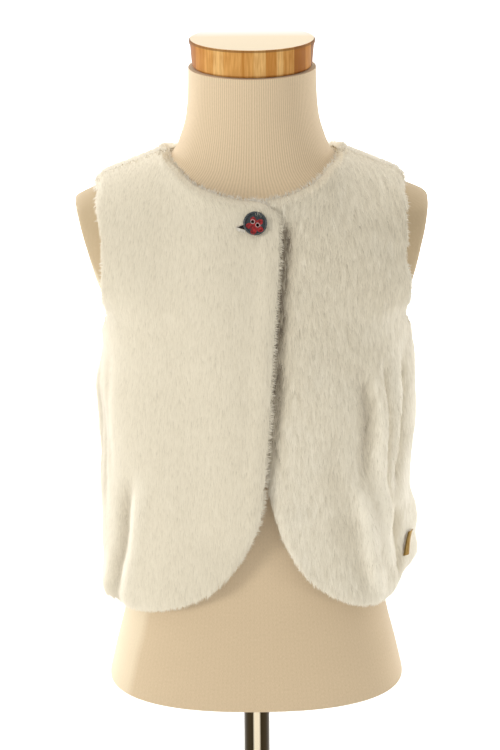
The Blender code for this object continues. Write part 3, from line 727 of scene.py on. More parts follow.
def front_neck_line(side, start):
    """The front neck edge from the neck corner to the neck point on the shoulder."""
    end = seam_edge(NECK_POINT)
    places = [start[0] * side] + [point.across * MM for point in FRONT_NECK] + [end]
    heights = [start[1]] + [point.height * MM for point in FRONT_NECK] + [NECK_POINT]
    across = np.linspace(places[0], end, EDGE_POINTS)
    return np.stack([side * across, smooth_curve(places, heights)(across)], axis=1)


def back_neck_line(side):
    """The back neck edge from the centre back to the neck point on the shoulder."""
    end = seam_edge(NECK_POINT, True)
    shares = np.linspace(0, 1, CURVE_POINTS)
    heights = BACK_NECK + (NECK_POINT - BACK_NECK) * shares**BACK_NECK_POWER
    return np.stack([side * end * shares, heights], axis=1)


def seam_line(side, foot, top, behind):
    """The line of the side seam, or above it of the shoulder seam, between two heights."""
    heights = np.linspace(foot, top, SEAM_POINTS)
    return np.stack([side * seam_edge(heights, behind), heights], axis=1)


def armhole_line(side, behind):
    """The armhole edge, round at the underarm, up to the shoulder tip."""
    foot_end = ARMHOLE[0].height * MM
    tip = SHOULDER_TIPS[side]
    tip_width = gilet_rings(np.array([tip]))[0][0, RING_STEPS // 2]
    panel = "back" if behind else {-1: "right_front", 1: "left_front"}[side]
    widths = [getattr(point, panel) * MM for point in ARMHOLE]
    heights = [point.height * MM for point in ARMHOLE]
    width_at = smooth_curve(heights + [tip], widths + [tip_width])
    seam = seam_edge(UNDERARM, behind)
    narrowest = distance_at_width(np.array([foot_end]), np.array(widths[:1]), behind)
    turns = np.linspace(0, math.pi / 2, CURVE_POINTS)
    foot_heights = UNDERARM + (foot_end - UNDERARM) * (1 - np.cos(turns))
    foot = np.stack([side * (seam - (seam - narrowest) * np.sin(turns)), foot_heights], axis=1)
    turns = np.linspace(0, math.pi, 2 * CURVE_POINTS)[1:]
    rise_heights = foot_end + (tip - foot_end) * (1 - np.cos(turns)) / 2
    rise_across = side * distance_at_width(rise_heights, width_at(rise_heights), behind)
    rise = np.stack([rise_across, rise_heights], axis=1)
    rise[-1] = (side * seam_edge(tip, behind), tip)
    return np.concatenate([foot, rise])


def joined(first, second, first_steps, second_steps, behind=False):
    """Two lines that meet, each cut into its own number of even steps."""
    start = even_steps(first, first_steps + 1, behind)[:-1]
    return np.concatenate([start, even_steps(second, second_steps + 1, behind)])


def parted(line):
    """The parts of a rising line below and above the chest line."""
    across = np.interp(CHEST_LINE, line[:, 1], line[:, 0])
    low = line[line[:, 1] < CHEST_LINE]
    high = line[line[:, 1] > CHEST_LINE]
    middle = [(across, CHEST_LINE)]
    return np.concatenate([low, middle]), np.concatenate([middle, high])


def fill_between(bottom, top, start, end):
    """A grid of flat points that fills the space between four edges."""
    u = np.linspace(0, 1, len(bottom))[None, :, None]
    v = np.linspace(0, 1, len(start))[:, None, None]
    across = (1 - u) * start[:, None] + u * end[:, None]
    upwards = (1 - v) * bottom[None] + v * top[None]
    corners = (1 - v) * ((1 - u) * bottom[0] + u * bottom[-1]) + v * ((1 - u) * top[0] + u * top[-1])
    return across + upwards - corners


def yoke_column(foot, head, behind):
    """A line up the cloth from the chest line to the neck or the shoulder seam."""
    foot_x, head_x = ring_points(np.array([foot, head]), behind)[:, 0]
    share = np.linspace(0, 1, EDGE_POINTS)[1:-1]
    heights = foot[1] + (head[1] - foot[1]) * (1 - (1 - share) ** 2)
    x = foot_x + (head_x - foot_x) * soft_step(share)
    line = np.stack([np.copysign(distance_at_width(heights, np.abs(x), behind), x), heights], axis=1)
    return np.concatenate([[foot], line, [head]])


def panel_grid(hem, start_line, side, side_hem, neck, behind=False):
    """The flat grid of a panel from its start line to its side, and from its hem to its neck and shoulder."""
    start_low, start_high = parted(start_line)
    arm_low, arm_high = parted(armhole_line(side, behind))
    seam = seam_line(side, side_hem, UNDERARM, behind)
    start = even_steps(start_low, CHEST_ROWS + 1, behind)
    end = joined(seam, arm_low, SEAM_ROWS, UNDERARM_ROWS, behind)
    bottom = even_steps(hem, COLUMNS, behind)
    chest = np.linspace(start[-1], end[-1], CHEST_STEPS + 1)
    split = round(CHEST_STEPS * NECK_SHARE)
    chest = joined(chest[: split + 1], chest[split:], NECK_COLUMNS, SHOULDER_COLUMNS, behind)
    shoulder = seam_line(side, NECK_POINT, SHOULDER_TIPS[side], behind)
    top = joined(neck, shoulder, NECK_COLUMNS, SHOULDER_COLUMNS, behind)
    columns = [start_high]
    columns += [yoke_column(foot, head, behind) for foot, head in zip(chest[1:-1], top[1:-1])]
    columns.append(arm_high)
    yoke = np.stack([even_steps(column, YOKE_ROWS + 1, behind)[1:] for column in columns], axis=1)
    return np.concatenate([fill_between(bottom, chest, start, end), yoke])


def drawn_in(grid, start, end):
    """The grid with each row moved in from its first and last points by that row's distances."""
    rows = []
    for row, from_start, from_end in zip(grid, start, end):
        along = lengths_along(row)
        places = from_start + along * (along[-1] - from_start - from_end) / along[-1]
        rows.append(points_at(places, along, row))
    return np.array(rows)


def inside_edges(grid, start_inset):
    """A panel's grid drawn in from its free edges, but not from its seams."""
    is_armhole = np.arange(len(grid)) > SEAM_ROWS
    grid = drawn_in(grid, np.full(len(grid), start_inset), np.where(is_armhole, ARMHOLE_INSET, 0))
    is_neck = np.arange(COLUMNS) <= NECK_COLUMNS
    columns = drawn_in(grid.swapaxes(0, 1), np.full(COLUMNS, HEM_INSET), np.where(is_neck, NECK_INSET, 0))
    return columns.swapaxes(0, 1)


def front_pattern(cut, past_centre):
    """The flat grid of a front, from its front edge to its side."""
    edge = front_edge_line(cut, past_centre)
    grid = panel_grid(hem_line(cut), edge, cut.side, cut.hem, front_neck_line(cut.side, edge[-1]))
    return inside_edges(grid, FRONT_EDGE_INSET)


def back_half_pattern(cut):
    """The flat grid of the back from the centre back to the side seam that it shares with a front."""
    hem = (RIGHT_CUT.hem + LEFT_CUT.hem) / 2
    heights = np.linspace(hem, BACK_NECK, EDGE_POINTS)
    centre = np.stack([np.full(EDGE_POINTS, cut.side * SIDE_OFFSET), heights], axis=1)
    seam = (cut.side * seam_edge(cut.hem, True), cut.hem)
    hem_points = np.linspace(centre[0], seam, SEAM_POINTS)
    grid = panel_grid(hem_points, centre, cut.side, cut.hem, back_neck_line(cut.side), True)
    return inside_edges(grid, 0)


def back_pattern():
    """The flat grid of the back, from the right side seam to the left, drawn from the centre back."""
    right = back_half_pattern(RIGHT_CUT)
    left = back_half_pattern(LEFT_CUT)
    return np.concatenate([right[:, :0:-1], left], axis=1)


def cloth_thickness(start_is_edge):
    """The cloth's thickness over a grid: fuller on the shoulders, and rolled at its free edges."""
    share = np.ones((CHEST_ROWS + YOKE_ROWS + 1, COLUMNS))
    rows = np.arange(len(share))[:, None]
    share += SHOULDER_PLUMP * soft_step((rows - CHEST_ROWS) / YOKE_ROWS * 2 - 1)
    armhole = slice(SEAM_ROWS + 1, None)
    for k, (roll, soft_roll) in enumerate(zip(EDGE_ROLL, ARMHOLE_ROLL)):
        edges = [
            (k, slice(None), roll),
            (-1 - k, slice(0, NECK_COLUMNS + k + 1), roll),
            (slice(-1 - k, None), NECK_COLUMNS + k, roll),
            (armhole, -1 - k, soft_roll),
        ]
        if start_is_edge:
            edges.append((slice(None), k, roll))
        for row, column, least in edges:
            share[row, column] = np.minimum(share[row, column], least)
    return share * CLOTH_THICKNESS


# A panel's flat grid, the faces of its cloth, the directions up and out of it, the painted light and shade on
# its hair by the folds and the height, and the painted shadow in the groove beside the right front's edge
Panel = namedtuple("Panel", "flat inner outer up out shade groove behind")


def painted_fold_shading(flat, behind):
    """Painted light and shade on narrow folds' hair: paler on ridges and flanks facing the key light, darker,
    below zero, in hollows and flanks facing away.
    """
    narrow = [fold for fold in FOLDS + CREASES if fold.width < WIDEST_SHADED]
    folds = fold_offset(flat, behind, narrow)
    slopes = np.gradient(folds, axis=1) / np.gradient(flat[..., 0], axis=1)
    depths = np.where(folds < 0, folds * HOLLOW_SHARE, folds)
    return np.clip(depths * FOLD_PAINTED_SHADING + slopes * SLOPE_PAINTED_SHADING, *SHADE_RANGE)


def make_panel(flat, thickness, behind=False, over=False, under=False):
    """A pattern piece wrapped round the form."""
    inner, normals = inner_points(flat, behind, over, under)
    outer = inner + normals * thickness[..., None]
    up = unit(np.gradient(outer, axis=0))
    out = unit(np.cross(unit(np.gradient(outer, axis=1)), up))
    out *= np.sign((out * normals).sum(axis=-1, keepdims=True))
    # Painted light on the left front's hair: paler low down and a little darker high up
    lower = soft_step((CHEST_LINE - flat[..., 1]) / HEIGHT_SHADE_RUN)
    shade = painted_fold_shading(flat, behind) + under * HEIGHT_SHADE * (lower - HEIGHT_SHADE_NONE)
    # Painted shadow on the left front's hair in the groove beside the right front's edge
    groove = under * GROOVE_PAINTED_SHADOW * edge_groove(flat)
    return Panel(flat, inner, outer, up, out, shade, groove, behind)


def add_object(name, mesh, material, body="root"):
    """A named object with a mesh and a material, which rides on a body."""
    mesh.name = name
    mesh.materials.append(material)
    shape = bpy.data.objects.new(name, mesh)
    bpy.context.scene.collection.objects.link(shape)
    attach(shape, body)
    return shape


def mesh_from(builder, sharp_degrees=180):
    """A smooth mesh from a bmesh, but for its sharp edges."""
    bmesh.ops.recalc_face_normals(builder, faces=builder.faces)
    mesh = bpy.data.meshes.new("mesh")
    builder.to_mesh(mesh)
    builder.free()
    mesh.shade_smooth()
    mesh.set_sharp_from_angle(angle=math.radians(sharp_degrees))
    return mesh


def wall_mesh(inner, outer):
    """A closed wall between two grids of points."""
    rows, columns = inner.shape[:2]
    count = rows * columns
    index = np.arange(count).reshape(rows, columns)
    corners = [index[:-1, :-1], index[:-1, 1:], index[1:, 1:], index[1:, :-1]]
    quads = np.stack(corners, axis=-1).reshape(-1, 4)
    rim = np.concatenate([index[0, :-1], index[:-1, -1], index[-1, :0:-1], index[:0:-1, 0]])
    after = np.roll(rim, -1)
    sides = np.stack([rim, rim + count, after + count, after], axis=1)
    faces = np.concatenate([quads, quads[:, ::-1] + count, sides])
    mesh = bpy.data.meshes.new("wall")
    mesh.from_pydata(np.concatenate([outer.reshape(-1, 3), inner.reshape(-1, 3)]), [], faces)
    builder = bmesh.new()
    builder.from_mesh(mesh)
    bpy.data.meshes.remove(mesh)
    return mesh_from(builder, 60)


def prism(outline, near, far):
    """A prism over an (x, z) outline between two depths along Y."""
    builder = bmesh.new()
    front = [builder.verts.new((x, near, z)) for x, z in outline]
    back = [builder.verts.new((x, far, z)) for x, z in outline]
    builder.faces.new(front)
    builder.faces.new(back[::-1])
    for k in range(len(outline)):
        after = (k + 1) % len(outline)
        builder.faces.new([front[after], front[k], back[k], back[after]])
    return mesh_from(builder)


def cut_out(mesh, cutter):
    """A mesh with another taken out of it."""
    scene = bpy.context.scene
    shape = bpy.data.objects.new("to_cut", mesh)
    helper = bpy.data.objects.new("cutter", cutter)
    scene.collection.objects.link(shape)
    scene.collection.objects.link(helper)
    modifier = shape.modifiers.new("cut", "BOOLEAN")
    modifier.operation = "DIFFERENCE"
    modifier.solver = "EXACT"
    modifier.object = helper
    depsgraph = bpy.context.evaluated_depsgraph_get()
    result = bpy.data.meshes.new_from_object(shape.evaluated_get(depsgraph))
    bpy.data.objects.remove(shape)
    bpy.data.objects.remove(helper)
    return result


def buttonhole():
    """A slit: round where the button's thread passes, pulled open beside it and pointed at its other end."""
    radius = SLIT_WIDTH / 2
    middle = SLIT_TO - radius
    angles = np.linspace(-math.pi / 2, math.pi / 2, SLIT_END_POINTS)
    outline = [(middle + radius * math.cos(a), SLIT_HEIGHT + radius * math.sin(a)) for a in angles]
    outline.append((SLIT_MOUTH, SLIT_HEIGHT + SLIT_OPEN / 2))
    outline.append((SLIT_FROM, SLIT_HEIGHT))
    outline.append((SLIT_MOUTH, SLIT_HEIGHT - SLIT_OPEN / 2))
    return prism(outline, *SLIT_CUT)


def soft_noise(flat, size, rng):
    """Gentle random waves over flat points, each about as long as the size, between about -1 and 1."""
    total = np.zeros(flat.shape[:-1])
    for _ in range(WAVES):
        angle, phase = rng.uniform(0, 2 * math.pi, 2)
        length = size * rng.uniform(*WAVE_LENGTHS)
        along = flat[..., 0] * math.cos(angle) + flat[..., 1] * math.sin(angle)
        total += np.sin(2 * math.pi * along / length + phase)
    return total / math.sqrt(WAVES * WAVE_SCALE)


# Hairs: where each starts, bends and ends, which way its width lies, the cloth's direction out, and its tone
Hairs = namedtuple("Hairs", "root middle tip across out tone")


def scatter(panel, count, rng):
    """Places spread evenly over a panel's outer face, as a function that reads any of its fields there."""
    edges = np.diff(panel.outer, axis=1)[:-1], np.diff(panel.outer, axis=0)[:, :-1]
    areas = np.linalg.norm(np.cross(*edges), axis=-1)
    cells = rng.choice(areas.size, count, p=areas.ravel() / areas.sum())
    i, j = np.unravel_index(cells, areas.shape)
    a, b = rng.random((2, count, 1))

    def at(field):
        field = field if field.ndim == 3 else field[..., None]
        low = field[i, j] * (1 - b) + field[i, j + 1] * b
        high = field[i + 1, j] * (1 - b) + field[i + 1, j + 1] * b
        return low * (1 - a) + high * a

    return at


def nap(panel):
    """The way the pile lies over a panel: down, and down the cloth on the shoulders."""
    down = np.array([0, 0, -1.0])
    hanging = unit(down - panel.out * (panel.out @ down)[..., None])
    share = soft_step((panel.flat[..., 1] - CHEST_LINE) / NAP_TURN)[..., None]
    return unit(hanging * (1 - share) - panel.up * share)


def pile(panel, count, rng, tousle, room=None):
    """The hairs of a panel. Neighbours lean together in locks, and tousle says by how much the locks differ.

    room tells how long a hair may be at flat points. Where that is next to nothing, there is no hair.
    """
    at = scatter(panel, count, rng)
    flat = at(panel.flat)
    root = at(panel.outer)
    out = unit(at(panel.out))
    lie = unit(at(nap(panel)))
    row_steps = np.linalg.norm(np.diff(panel.outer, axis=0, prepend=panel.outer[:1]), axis=-1)
    to_hem = at(np.cumsum(row_steps, axis=0))[:, 0]
    side = np.cross(out, lie)
    wander = np.stack([soft_noise(flat, size, rng) for size in WANDER_SIZES], axis=-1) * WANDER
    lanes = (flat + wander) / (LOCK_WIDTH, LOCK_LENGTH)
    lane = np.floor(lanes[:, 0]).astype(int)
    level = np.floor(lanes[:, 1] + rng.random(LOCKS)[lane % LOCKS]).astype(int)
    lock = (lane * LOCK_MIXERS[0] + level * LOCK_MIXERS[1]) % LOCKS
    off_middle = (lanes[:, 0] - lane - 0.5) * LOCK_WIDTH * (-1 if panel.behind else 1)
    swirl = soft_noise(flat, SWIRL_SIZE, rng) * SWIRL * tousle

    def by_lock(spread):
        """A random value that the hairs of a lock share."""
        return rng.normal(0, spread, LOCKS)[lock]

    lean = swirl + by_lock(LOCK_LEAN * tousle) + rng.normal(0, HAIR_LEAN, count)
    way = lie * np.cos(lean)[:, None] + side * np.sin(lean)[:, None]
    lengths = rng.uniform(*HAIR_LENGTHS, count) * (1 + by_lock(LENGTH_SPREAD))
    lengths = np.minimum(lengths, to_hem + HEM_FRINGE * rng.uniform(*HEM_FRINGE_SPREAD, count))
    if room is not None:
        lengths = np.minimum(lengths, room(flat))
    brushed = soft_noise(flat, BRUSHED_SIZE, rng)

    def rising(rise, spread):
        """The hairs' directions where they rise off the cloth by about this angle."""
        angle = rise + spread * brushed + by_lock(LOCK_RISE * tousle) + rng.normal(0, spread, count)
        angle = np.radians(angle)[:, None]
        return way * np.cos(angle) + out * np.sin(angle)

    first = rising(ROOT_RISE, ROOT_SPREAD)
    second = rising(TIP_RISE, TIP_SPREAD)
    streak_tone = STREAK_TONE + STREAK_TOUSLE * tousle
    streaks = soft_noise(flat * (1, STREAK_SHARE), STREAK_WIDTH, rng) * streak_tone
    tone = MIDDLE_TONE + by_lock(LOCK_TONE * tousle) + rng.normal(0, HAIR_TONE, count) + streaks
    # The painted light and shade of the folds and the height go into the tone, and then the groove's painted
    # shadow
    tone = np.maximum(tone + at(panel.shade)[:, 0] + BRUSHED_TONE * tousle * brushed, DARKEST_TONE)
    tone -= at(panel.groove)[:, 0]
    sway = by_lock(SWAY_LOCK * tousle) + SWAY_BRUSHED * tousle * brushed
    gather = side * off_middle[:, None] * tousle
    middle = root + first * (lengths * MIDDLE_SHARE)[:, None] - gather * GATHER_MIDDLE
    tip = middle + second * (lengths * (1 - MIDDLE_SHARE))[:, None] - gather * GATHER_TIP
    hairs = Hairs(root, middle, tip, np.cross(out, way), unit(out + side * sway[:, None]), tone)
    kept = lengths > SHORTEST_HAIR
    return Hairs(*(field[kept] for field in hairs))


def fringe(panel, edge, sideways, rng):
    """Short hairs that stand out past one edge of a panel.

    sideways is 1 where they point straight past the edge and 0 where they lie with the pile.
    """
    line = [field[edge] for field in (panel.outer, panel.inner, panel.out, nap(panel))]
    inward = {0: 1, -1: -2}
    row, column = edge
    neighbour = (inward.get(row, row), column) if isinstance(row, int) else (row, inward[column])
    past = unit(panel.outer[edge] - panel.outer[neighbour])
    along = lengths_along(line[0])
    count = int(along[-1] / FRINGE_SPACING)
    places = rng.uniform(0, along[-1], count)
    outer, inner, out, lie, past = [points_at(places, along, field) for field in line + [past]]
    root = inner + (outer - inner) * rng.uniform(*FRINGE_ROOTS, count)[:, None]
    way = unit(past * sideways + lie * (1 - sideways) + rng.normal(0, FRINGE_SPREAD, (count, 3)))
    length = rng.uniform(*FRINGE_LENGTHS, count)[:, None]
    middle = root + unit(way + out * FRINGE_LIFT) * length * 0.5
    tip = middle + unit(way - out * FRINGE_DROOP) * length * 0.5
    tone = FRINGE_TONE + rng.normal(0, FRINGE_TONE_SPREAD, count)
    return Hairs(root, middle, tip, unit(np.cross(out, way)), unit(out + past * FRINGE_FACING), tone)


def all_hairs(*groups):
    """Several groups of hairs as one."""
    return Hairs(*(np.concatenate(fields) for fields in zip(*groups)))


def fur_object(name, hairs, material, roundness):
    """Hairs as one mesh of narrow ribbons, shaded as if they were round.

    A ribbon is a quad from its root to its bend and a triangle on to its tip. Each has its own cell of the
    map for baking.
    """
    count = len(hairs.root)
    numbers = np.arange(count)
    half = hairs.across * HAIR_WIDTH / 2
    bend = half * HAIR_MIDDLE_WIDTH
    points = [hairs.root - half, hairs.root + half, hairs.middle - bend, hairs.middle + bend, hairs.tip]
    corners = np.array([1, 0, 2, 3, 3, 2, 4])
    in_cell = np.array([(0.1, 0.1), (0.9, 0.1), (0.15, 0.5), (0.85, 0.5), (0.5, 0.9)])
    sides = np.array([-1, 1, -1, 1, 0])
    rise = np.array([0.0, 0.0, 0.55, 0.55, 1.0])
    mesh = bpy.data.meshes.new(name)
    mesh.vertices.add(count * len(points))
    mesh.vertices.foreach_set("co", np.stack(points, axis=1).ravel())
    mesh.loops.add(count * len(corners))
    mesh.loops.foreach_set("vertex_index", (numbers[:, None] * len(points) + corners).ravel())
    mesh.polygons.add(count * 2)
    mesh.polygons.foreach_set("loop_start", (numbers[:, None] * len(corners) + (0, 4)).ravel())
    mesh.update(calc_edges=True)
    tone = mesh.attributes.new("tone", "FLOAT", "POINT")
    tone.data.foreach_set("value", (hairs.tone[:, None] * (1 - TIP_TONE) + rise * TIP_TONE).ravel())
    cells = math.ceil(math.sqrt(count))
    cell = np.stack([numbers % cells, numbers // cells], axis=1)[:, None]
    places = (cell + in_cell[corners]) / cells
    mesh.uv_layers.new(name="OFBake").data.foreach_set("uv", places.ravel())
    mesh.shade_smooth()
    tilt = sides[None, :, None] * roundness
    normals = unit(hairs.out[:, None] + hairs.across[:, None] * tilt)
    mesh.normals_split_custom_set_from_vertices(normals.reshape(-1, 3))
    shape = add_object(name, mesh, material)
    shape.visible_shadow = False
    shape.visible_diffuse = False
    return shape


class Nodes:
    """A material's nodes, added by short calls."""

    def __init__(self, name, roughness=0.5, metallic=0.0, **constants):
        self.material = bpy.data.materials.new(name)
        self.material.use_nodes = True
        self.tree = self.material.node_tree
        self.shader = self.tree.nodes["Principled BSDF"]
        self.set("Roughness", roughness)
        self.set("Metallic", metallic)
        for key, value in constants.items():
            self.set(key.replace("_", " "), value)

    def set(self, socket, value):
        self.shader.inputs[socket].default_value = value

    def link(self, value, socket):
        """Sets a socket to a constant or to another node's output."""
        if isinstance(value, bpy.types.NodeSocket):
            self.tree.links.new(value, socket)
        else:
            socket.default_value = value

    def add(self, kind, output=0, inputs=None, **settings):
        node = self.tree.nodes.new(kind)
        for key, value in settings.items():
            setattr(node, key, value)
        for key, value in (inputs or {}).items():
            self.link(value, node.inputs[key])
        return node.outputs[output]

    def math(self, operation, first, second=0.0):
        return self.add("ShaderNodeMath", inputs={0: first, 1: second}, operation=operation)

    def plus(self, first, second):
        return self.math("ADD", first, second)

    def minus(self, first, second):
        return self.math("SUBTRACT", first, second)

    def times(self, first, second):
        return self.math("MULTIPLY", first, second)

    def size(self, value):
        return self.math("ABSOLUTE", value)

    def length(self, x, y):
        return self.math("SQRT", self.plus(self.math("POWER", x, 2.0), self.math("POWER", y, 2.0)))

    def split(self, vector):
        """The x, y and z of a vector."""
        return list(self.add("ShaderNodeSeparateXYZ", "X", {0: vector}).node.outputs)

    def noise(self, where, scale, detail=3.0):
        return self.add("ShaderNodeTexNoise", "Fac", {"Vector": where, "Scale": scale, "Detail": detail})

    def mix(self, share, first, second):
        inputs = {0: share, 6: first, 7: second}
        return self.add("ShaderNodeMix", 2, inputs, data_type="RGBA")

    def ramp(self, value, stops):
        """A colour by a value, through (place, colour) stops."""
        output = self.add("ShaderNodeValToRGB", 0, {"Fac": value})
        elements = output.node.color_ramp.elements
        while len(elements) < len(stops):
            elements.new(0.5)
        for element, (place, colour) in zip(elements, stops):
            element.position = place
            element.color = (*colour, 1)
        return output

    def mottle(self, where, scale, dark, pale):
        """Two colours in small soft patches."""
        return self.ramp(self.noise(where, scale), [(0.3, dark), (0.7, pale)])

    def between(self, value, start, end, least=0.0, most=1.0):
        """A value from least to most as another runs from start to end."""
        return self.add("ShaderNodeMapRange", 0, {0: value, 1: start, 2: end, 3: least, 4: most})

    def stretch(self, where, scale):
        return self.add("ShaderNodeMapping", 0, {"Vector": where, "Scale": scale})

    def bump(self, height, distance, strength=1.0):
        inputs = {"Height": height, "Distance": distance, "Strength": strength}
        self.link(self.add("ShaderNodeBump", 0, inputs), self.shader.inputs["Normal"])

    def place(self):
        return self.add("ShaderNodeNewGeometry", "Position")

    def normal(self):
        return self.add("ShaderNodeNewGeometry", "Normal")

    def colour(self, output):
        self.link(output, self.shader.inputs["Base Color"])
        return self.material


def fur_material():
    """Cream hair, a little darker at its roots, in soft patches."""
    nodes = Nodes("cream_fur", 0.75, Sheen_Weight=0.3, Sheen_Roughness=0.5)
    nodes.set("Specular IOR Level", 0.25)
    tone = nodes.add("ShaderNodeAttribute", "Fac", attribute_name="tone")
    # The darkest stop serves mostly the painted shadow in the groove and the painted shade in fold hollows
    stops = [(0.0, (0.17, 0.135, 0.095)), (0.2, (0.47, 0.405, 0.295)), (0.5, (0.69, 0.616, 0.464))]
    hair = nodes.ramp(tone, stops + [(0.9, (0.90, 0.83, 0.67))])
    patches = nodes.noise(nodes.place(), 18.0)
    return nodes.colour(nodes.mix(nodes.times(patches, 0.12), hair, (0.62, 0.54, 0.40, 1)))


def cloth_material():
    """The knitted backing that the pile stands on."""
    nodes = Nodes("fur_backing", 0.9)
    place = nodes.place()
    nodes.bump(nodes.noise(place, 1500.0), 0.3 * MM, 0.6)
    return nodes.colour(nodes.mottle(place, 900.0, (0.60, 0.53, 0.40), (0.68, 0.61, 0.465)))


def jersey_yarn(nodes, place, height):
    """The jersey's colour and bumps: fine upright wales, which show where it is stretched over the neck."""
    cover = nodes.add("ShaderNodeUVMap", uv_map="cover")
    wale_scale = 2 * math.pi / (WAVE_RADIANS * WALE_PITCH)
    wales = nodes.add("ShaderNodeTexWave", "Fac", {"Vector": cover, "Scale": wale_scale, "Distortion": 1.2})
    fibres = nodes.noise(nodes.stretch(cover, (1800, 500, 1)), 1.0)
    stretched = nodes.between(height, *NECK_KNIT, 0.03, 0.34)
    knit = nodes.plus(nodes.times(wales, stretched), nodes.times(fibres, 0.5))
    knit = nodes.plus(knit, nodes.minus(0.25, nodes.times(stretched, 0.5)))
    nodes.bump(knit, 0.2 * MM, 0.5)
    yarn = nodes.ramp(knit, [(0.25, (0.53, 0.40, 0.245)), (0.7, (0.78, 0.61, 0.40))])
    return nodes.mix(nodes.times(nodes.noise(place, 9.0), 0.3), yarn, (0.63, 0.485, 0.30, 1))


def jersey_material():
    """The form's cream jersey cover, with painted shade on the arm stubs and low down, and painted highlights
    low on its right side and on its right arm stub.
    """
    nodes = Nodes("form_jersey", 0.85, Sheen_Weight=0.12, Sheen_Roughness=0.5)
    place = nodes.place()
    x, _, height = nodes.split(place)
    facing = nodes.split(nodes.normal())[0]
    # Painted shade: darker on the arm stubs, though not on their flat plates, and darker low down
    high = nodes.between(height, *STUB_HEIGHTS)
    beside = nodes.between(nodes.size(x), *STUB_SIDES)
    off_plate = nodes.between(nodes.size(facing), 0.97, 0.85)
    stub = nodes.times(nodes.times(beside, high), off_plate)
    low = nodes.between(height, *PAINTED_SHADE_FOOT)
    painted_shade = nodes.plus(nodes.times(stub, 0.5), nodes.times(low, 0.14))
    cloth = nodes.mix(painted_shade, jersey_yarn(nodes, place, height), (0.37, 0.27, 0.135, 1))
    # Painted highlights: paler low on the side that faces the wearer's right, and on the right arm stub
    side = nodes.times(nodes.between(facing, -0.70, -0.78), nodes.between(height, *PAINTED_LIGHT_FOOT))
    line = nodes.plus(x, nodes.times(height, STRIP_SLOPE))
    strip = nodes.times(nodes.between(line, STRIP_LINE + STRIP_BLUR, STRIP_LINE - STRIP_BLUR), high)
    pale = nodes.math("MAXIMUM", nodes.times(side, 0.3), nodes.times(strip, 0.6))
    return nodes.colour(nodes.mix(pale, cloth, (0.95, 0.85, 0.62, 1)))


def wood_material():
    """Upright laminated strips of several shades with fine grain and a dark line at the rim, painted shade on
    the end strips, and a top painted pale as highlight, near white towards the back.
    """
    nodes = Nodes("laminated_wood", 0.5)
    nodes.set("Specular IOR Level", 0.08)
    place = nodes.place()
    x, y, height = nodes.split(place)
    across = nodes.math("DIVIDE", nodes.plus(x, CAP_TOP_RADIUS), 2 * CAP_TOP_RADIUS)
    starts = [(start * MM + CAP_TOP_RADIUS) / (2 * CAP_TOP_RADIUS) for start, _ in WOOD_STRIPS]
    strips = nodes.ramp(across, list(zip(starts, [WOODS[wood] for _, wood in WOOD_STRIPS])))
    strips.node.color_ramp.interpolation = "CONSTANT"
    grain = nodes.noise(nodes.stretch(place, (700, 90, 60)), 1.0, 4.0)
    figured = nodes.mix(nodes.between(grain, 0.35, 0.75, 0.0, 0.75), strips, (0.40, 0.15, 0.02, 1))
    from_line = nodes.size(nodes.minus(height, CAP_LINE))
    rim_line = nodes.times(nodes.math("LESS_THAN", from_line, CAP_LINE_WIDTH / 2), 0.7)
    edge = nodes.mix(rim_line, figured, (0.22, 0.10, 0.03, 1))
    # Painted highlight: the top face is pale, and near white towards the back
    top = nodes.mix(nodes.between(y, *CAP_TOP_HIGHLIGHT), (0.88, 0.74, 0.53, 1), (0.98, 0.94, 0.90, 1))
    upright = nodes.split(nodes.normal())[2]
    return nodes.colour(nodes.mix(nodes.math("GREATER_THAN", upright, 0.8), edge, top))


def chrome_material():
    """Polished steel tube with a painted reflection: a lamp in its front and back and the dark ends of the
    room beside it.
    """
    nodes = Nodes("chrome", 0.2, 1.0)
    facing = nodes.size(nodes.split(nodes.normal())[1])
    dark = (0.035, 0.025, 0.012)
    stops = [(0.0, (0.10, 0.07, 0.035)), (0.5, dark), (0.955, dark), (0.985, (0.85, 0.74, 0.54))]
    return nodes.colour(nodes.ramp(facing, stops))


def gold_material():
    """The label's plain gilt metal."""
    nodes = Nodes("gilt_metal", 0.28, 1.0)
    scratches = nodes.stretch(nodes.place(), (900, 900, 120))
    return nodes.colour(nodes.mottle(scratches, 1.0, (0.26, 0.155, 0.045), (0.42, 0.27, 0.09)))


def thread_material():
    """Cream sewing thread."""
    nodes = Nodes("cream_thread", 0.7)
    return nodes.colour(nodes.mottle(nodes.place(), 2500.0, (0.70, 0.66, 0.58), (0.86, 0.82, 0.74)))


def thread_and_slit_shadow_material():
    """Near-black: the thread that holds the button, and the painted shadow that fills the buttonhole's slit.
    """
    nodes = Nodes("dark_thread_and_slit_shadow", 0.9)
    return nodes.colour(nodes.mottle(nodes.place(), 3000.0, (0.008, 0.008, 0.008), (0.03, 0.028, 0.025)))


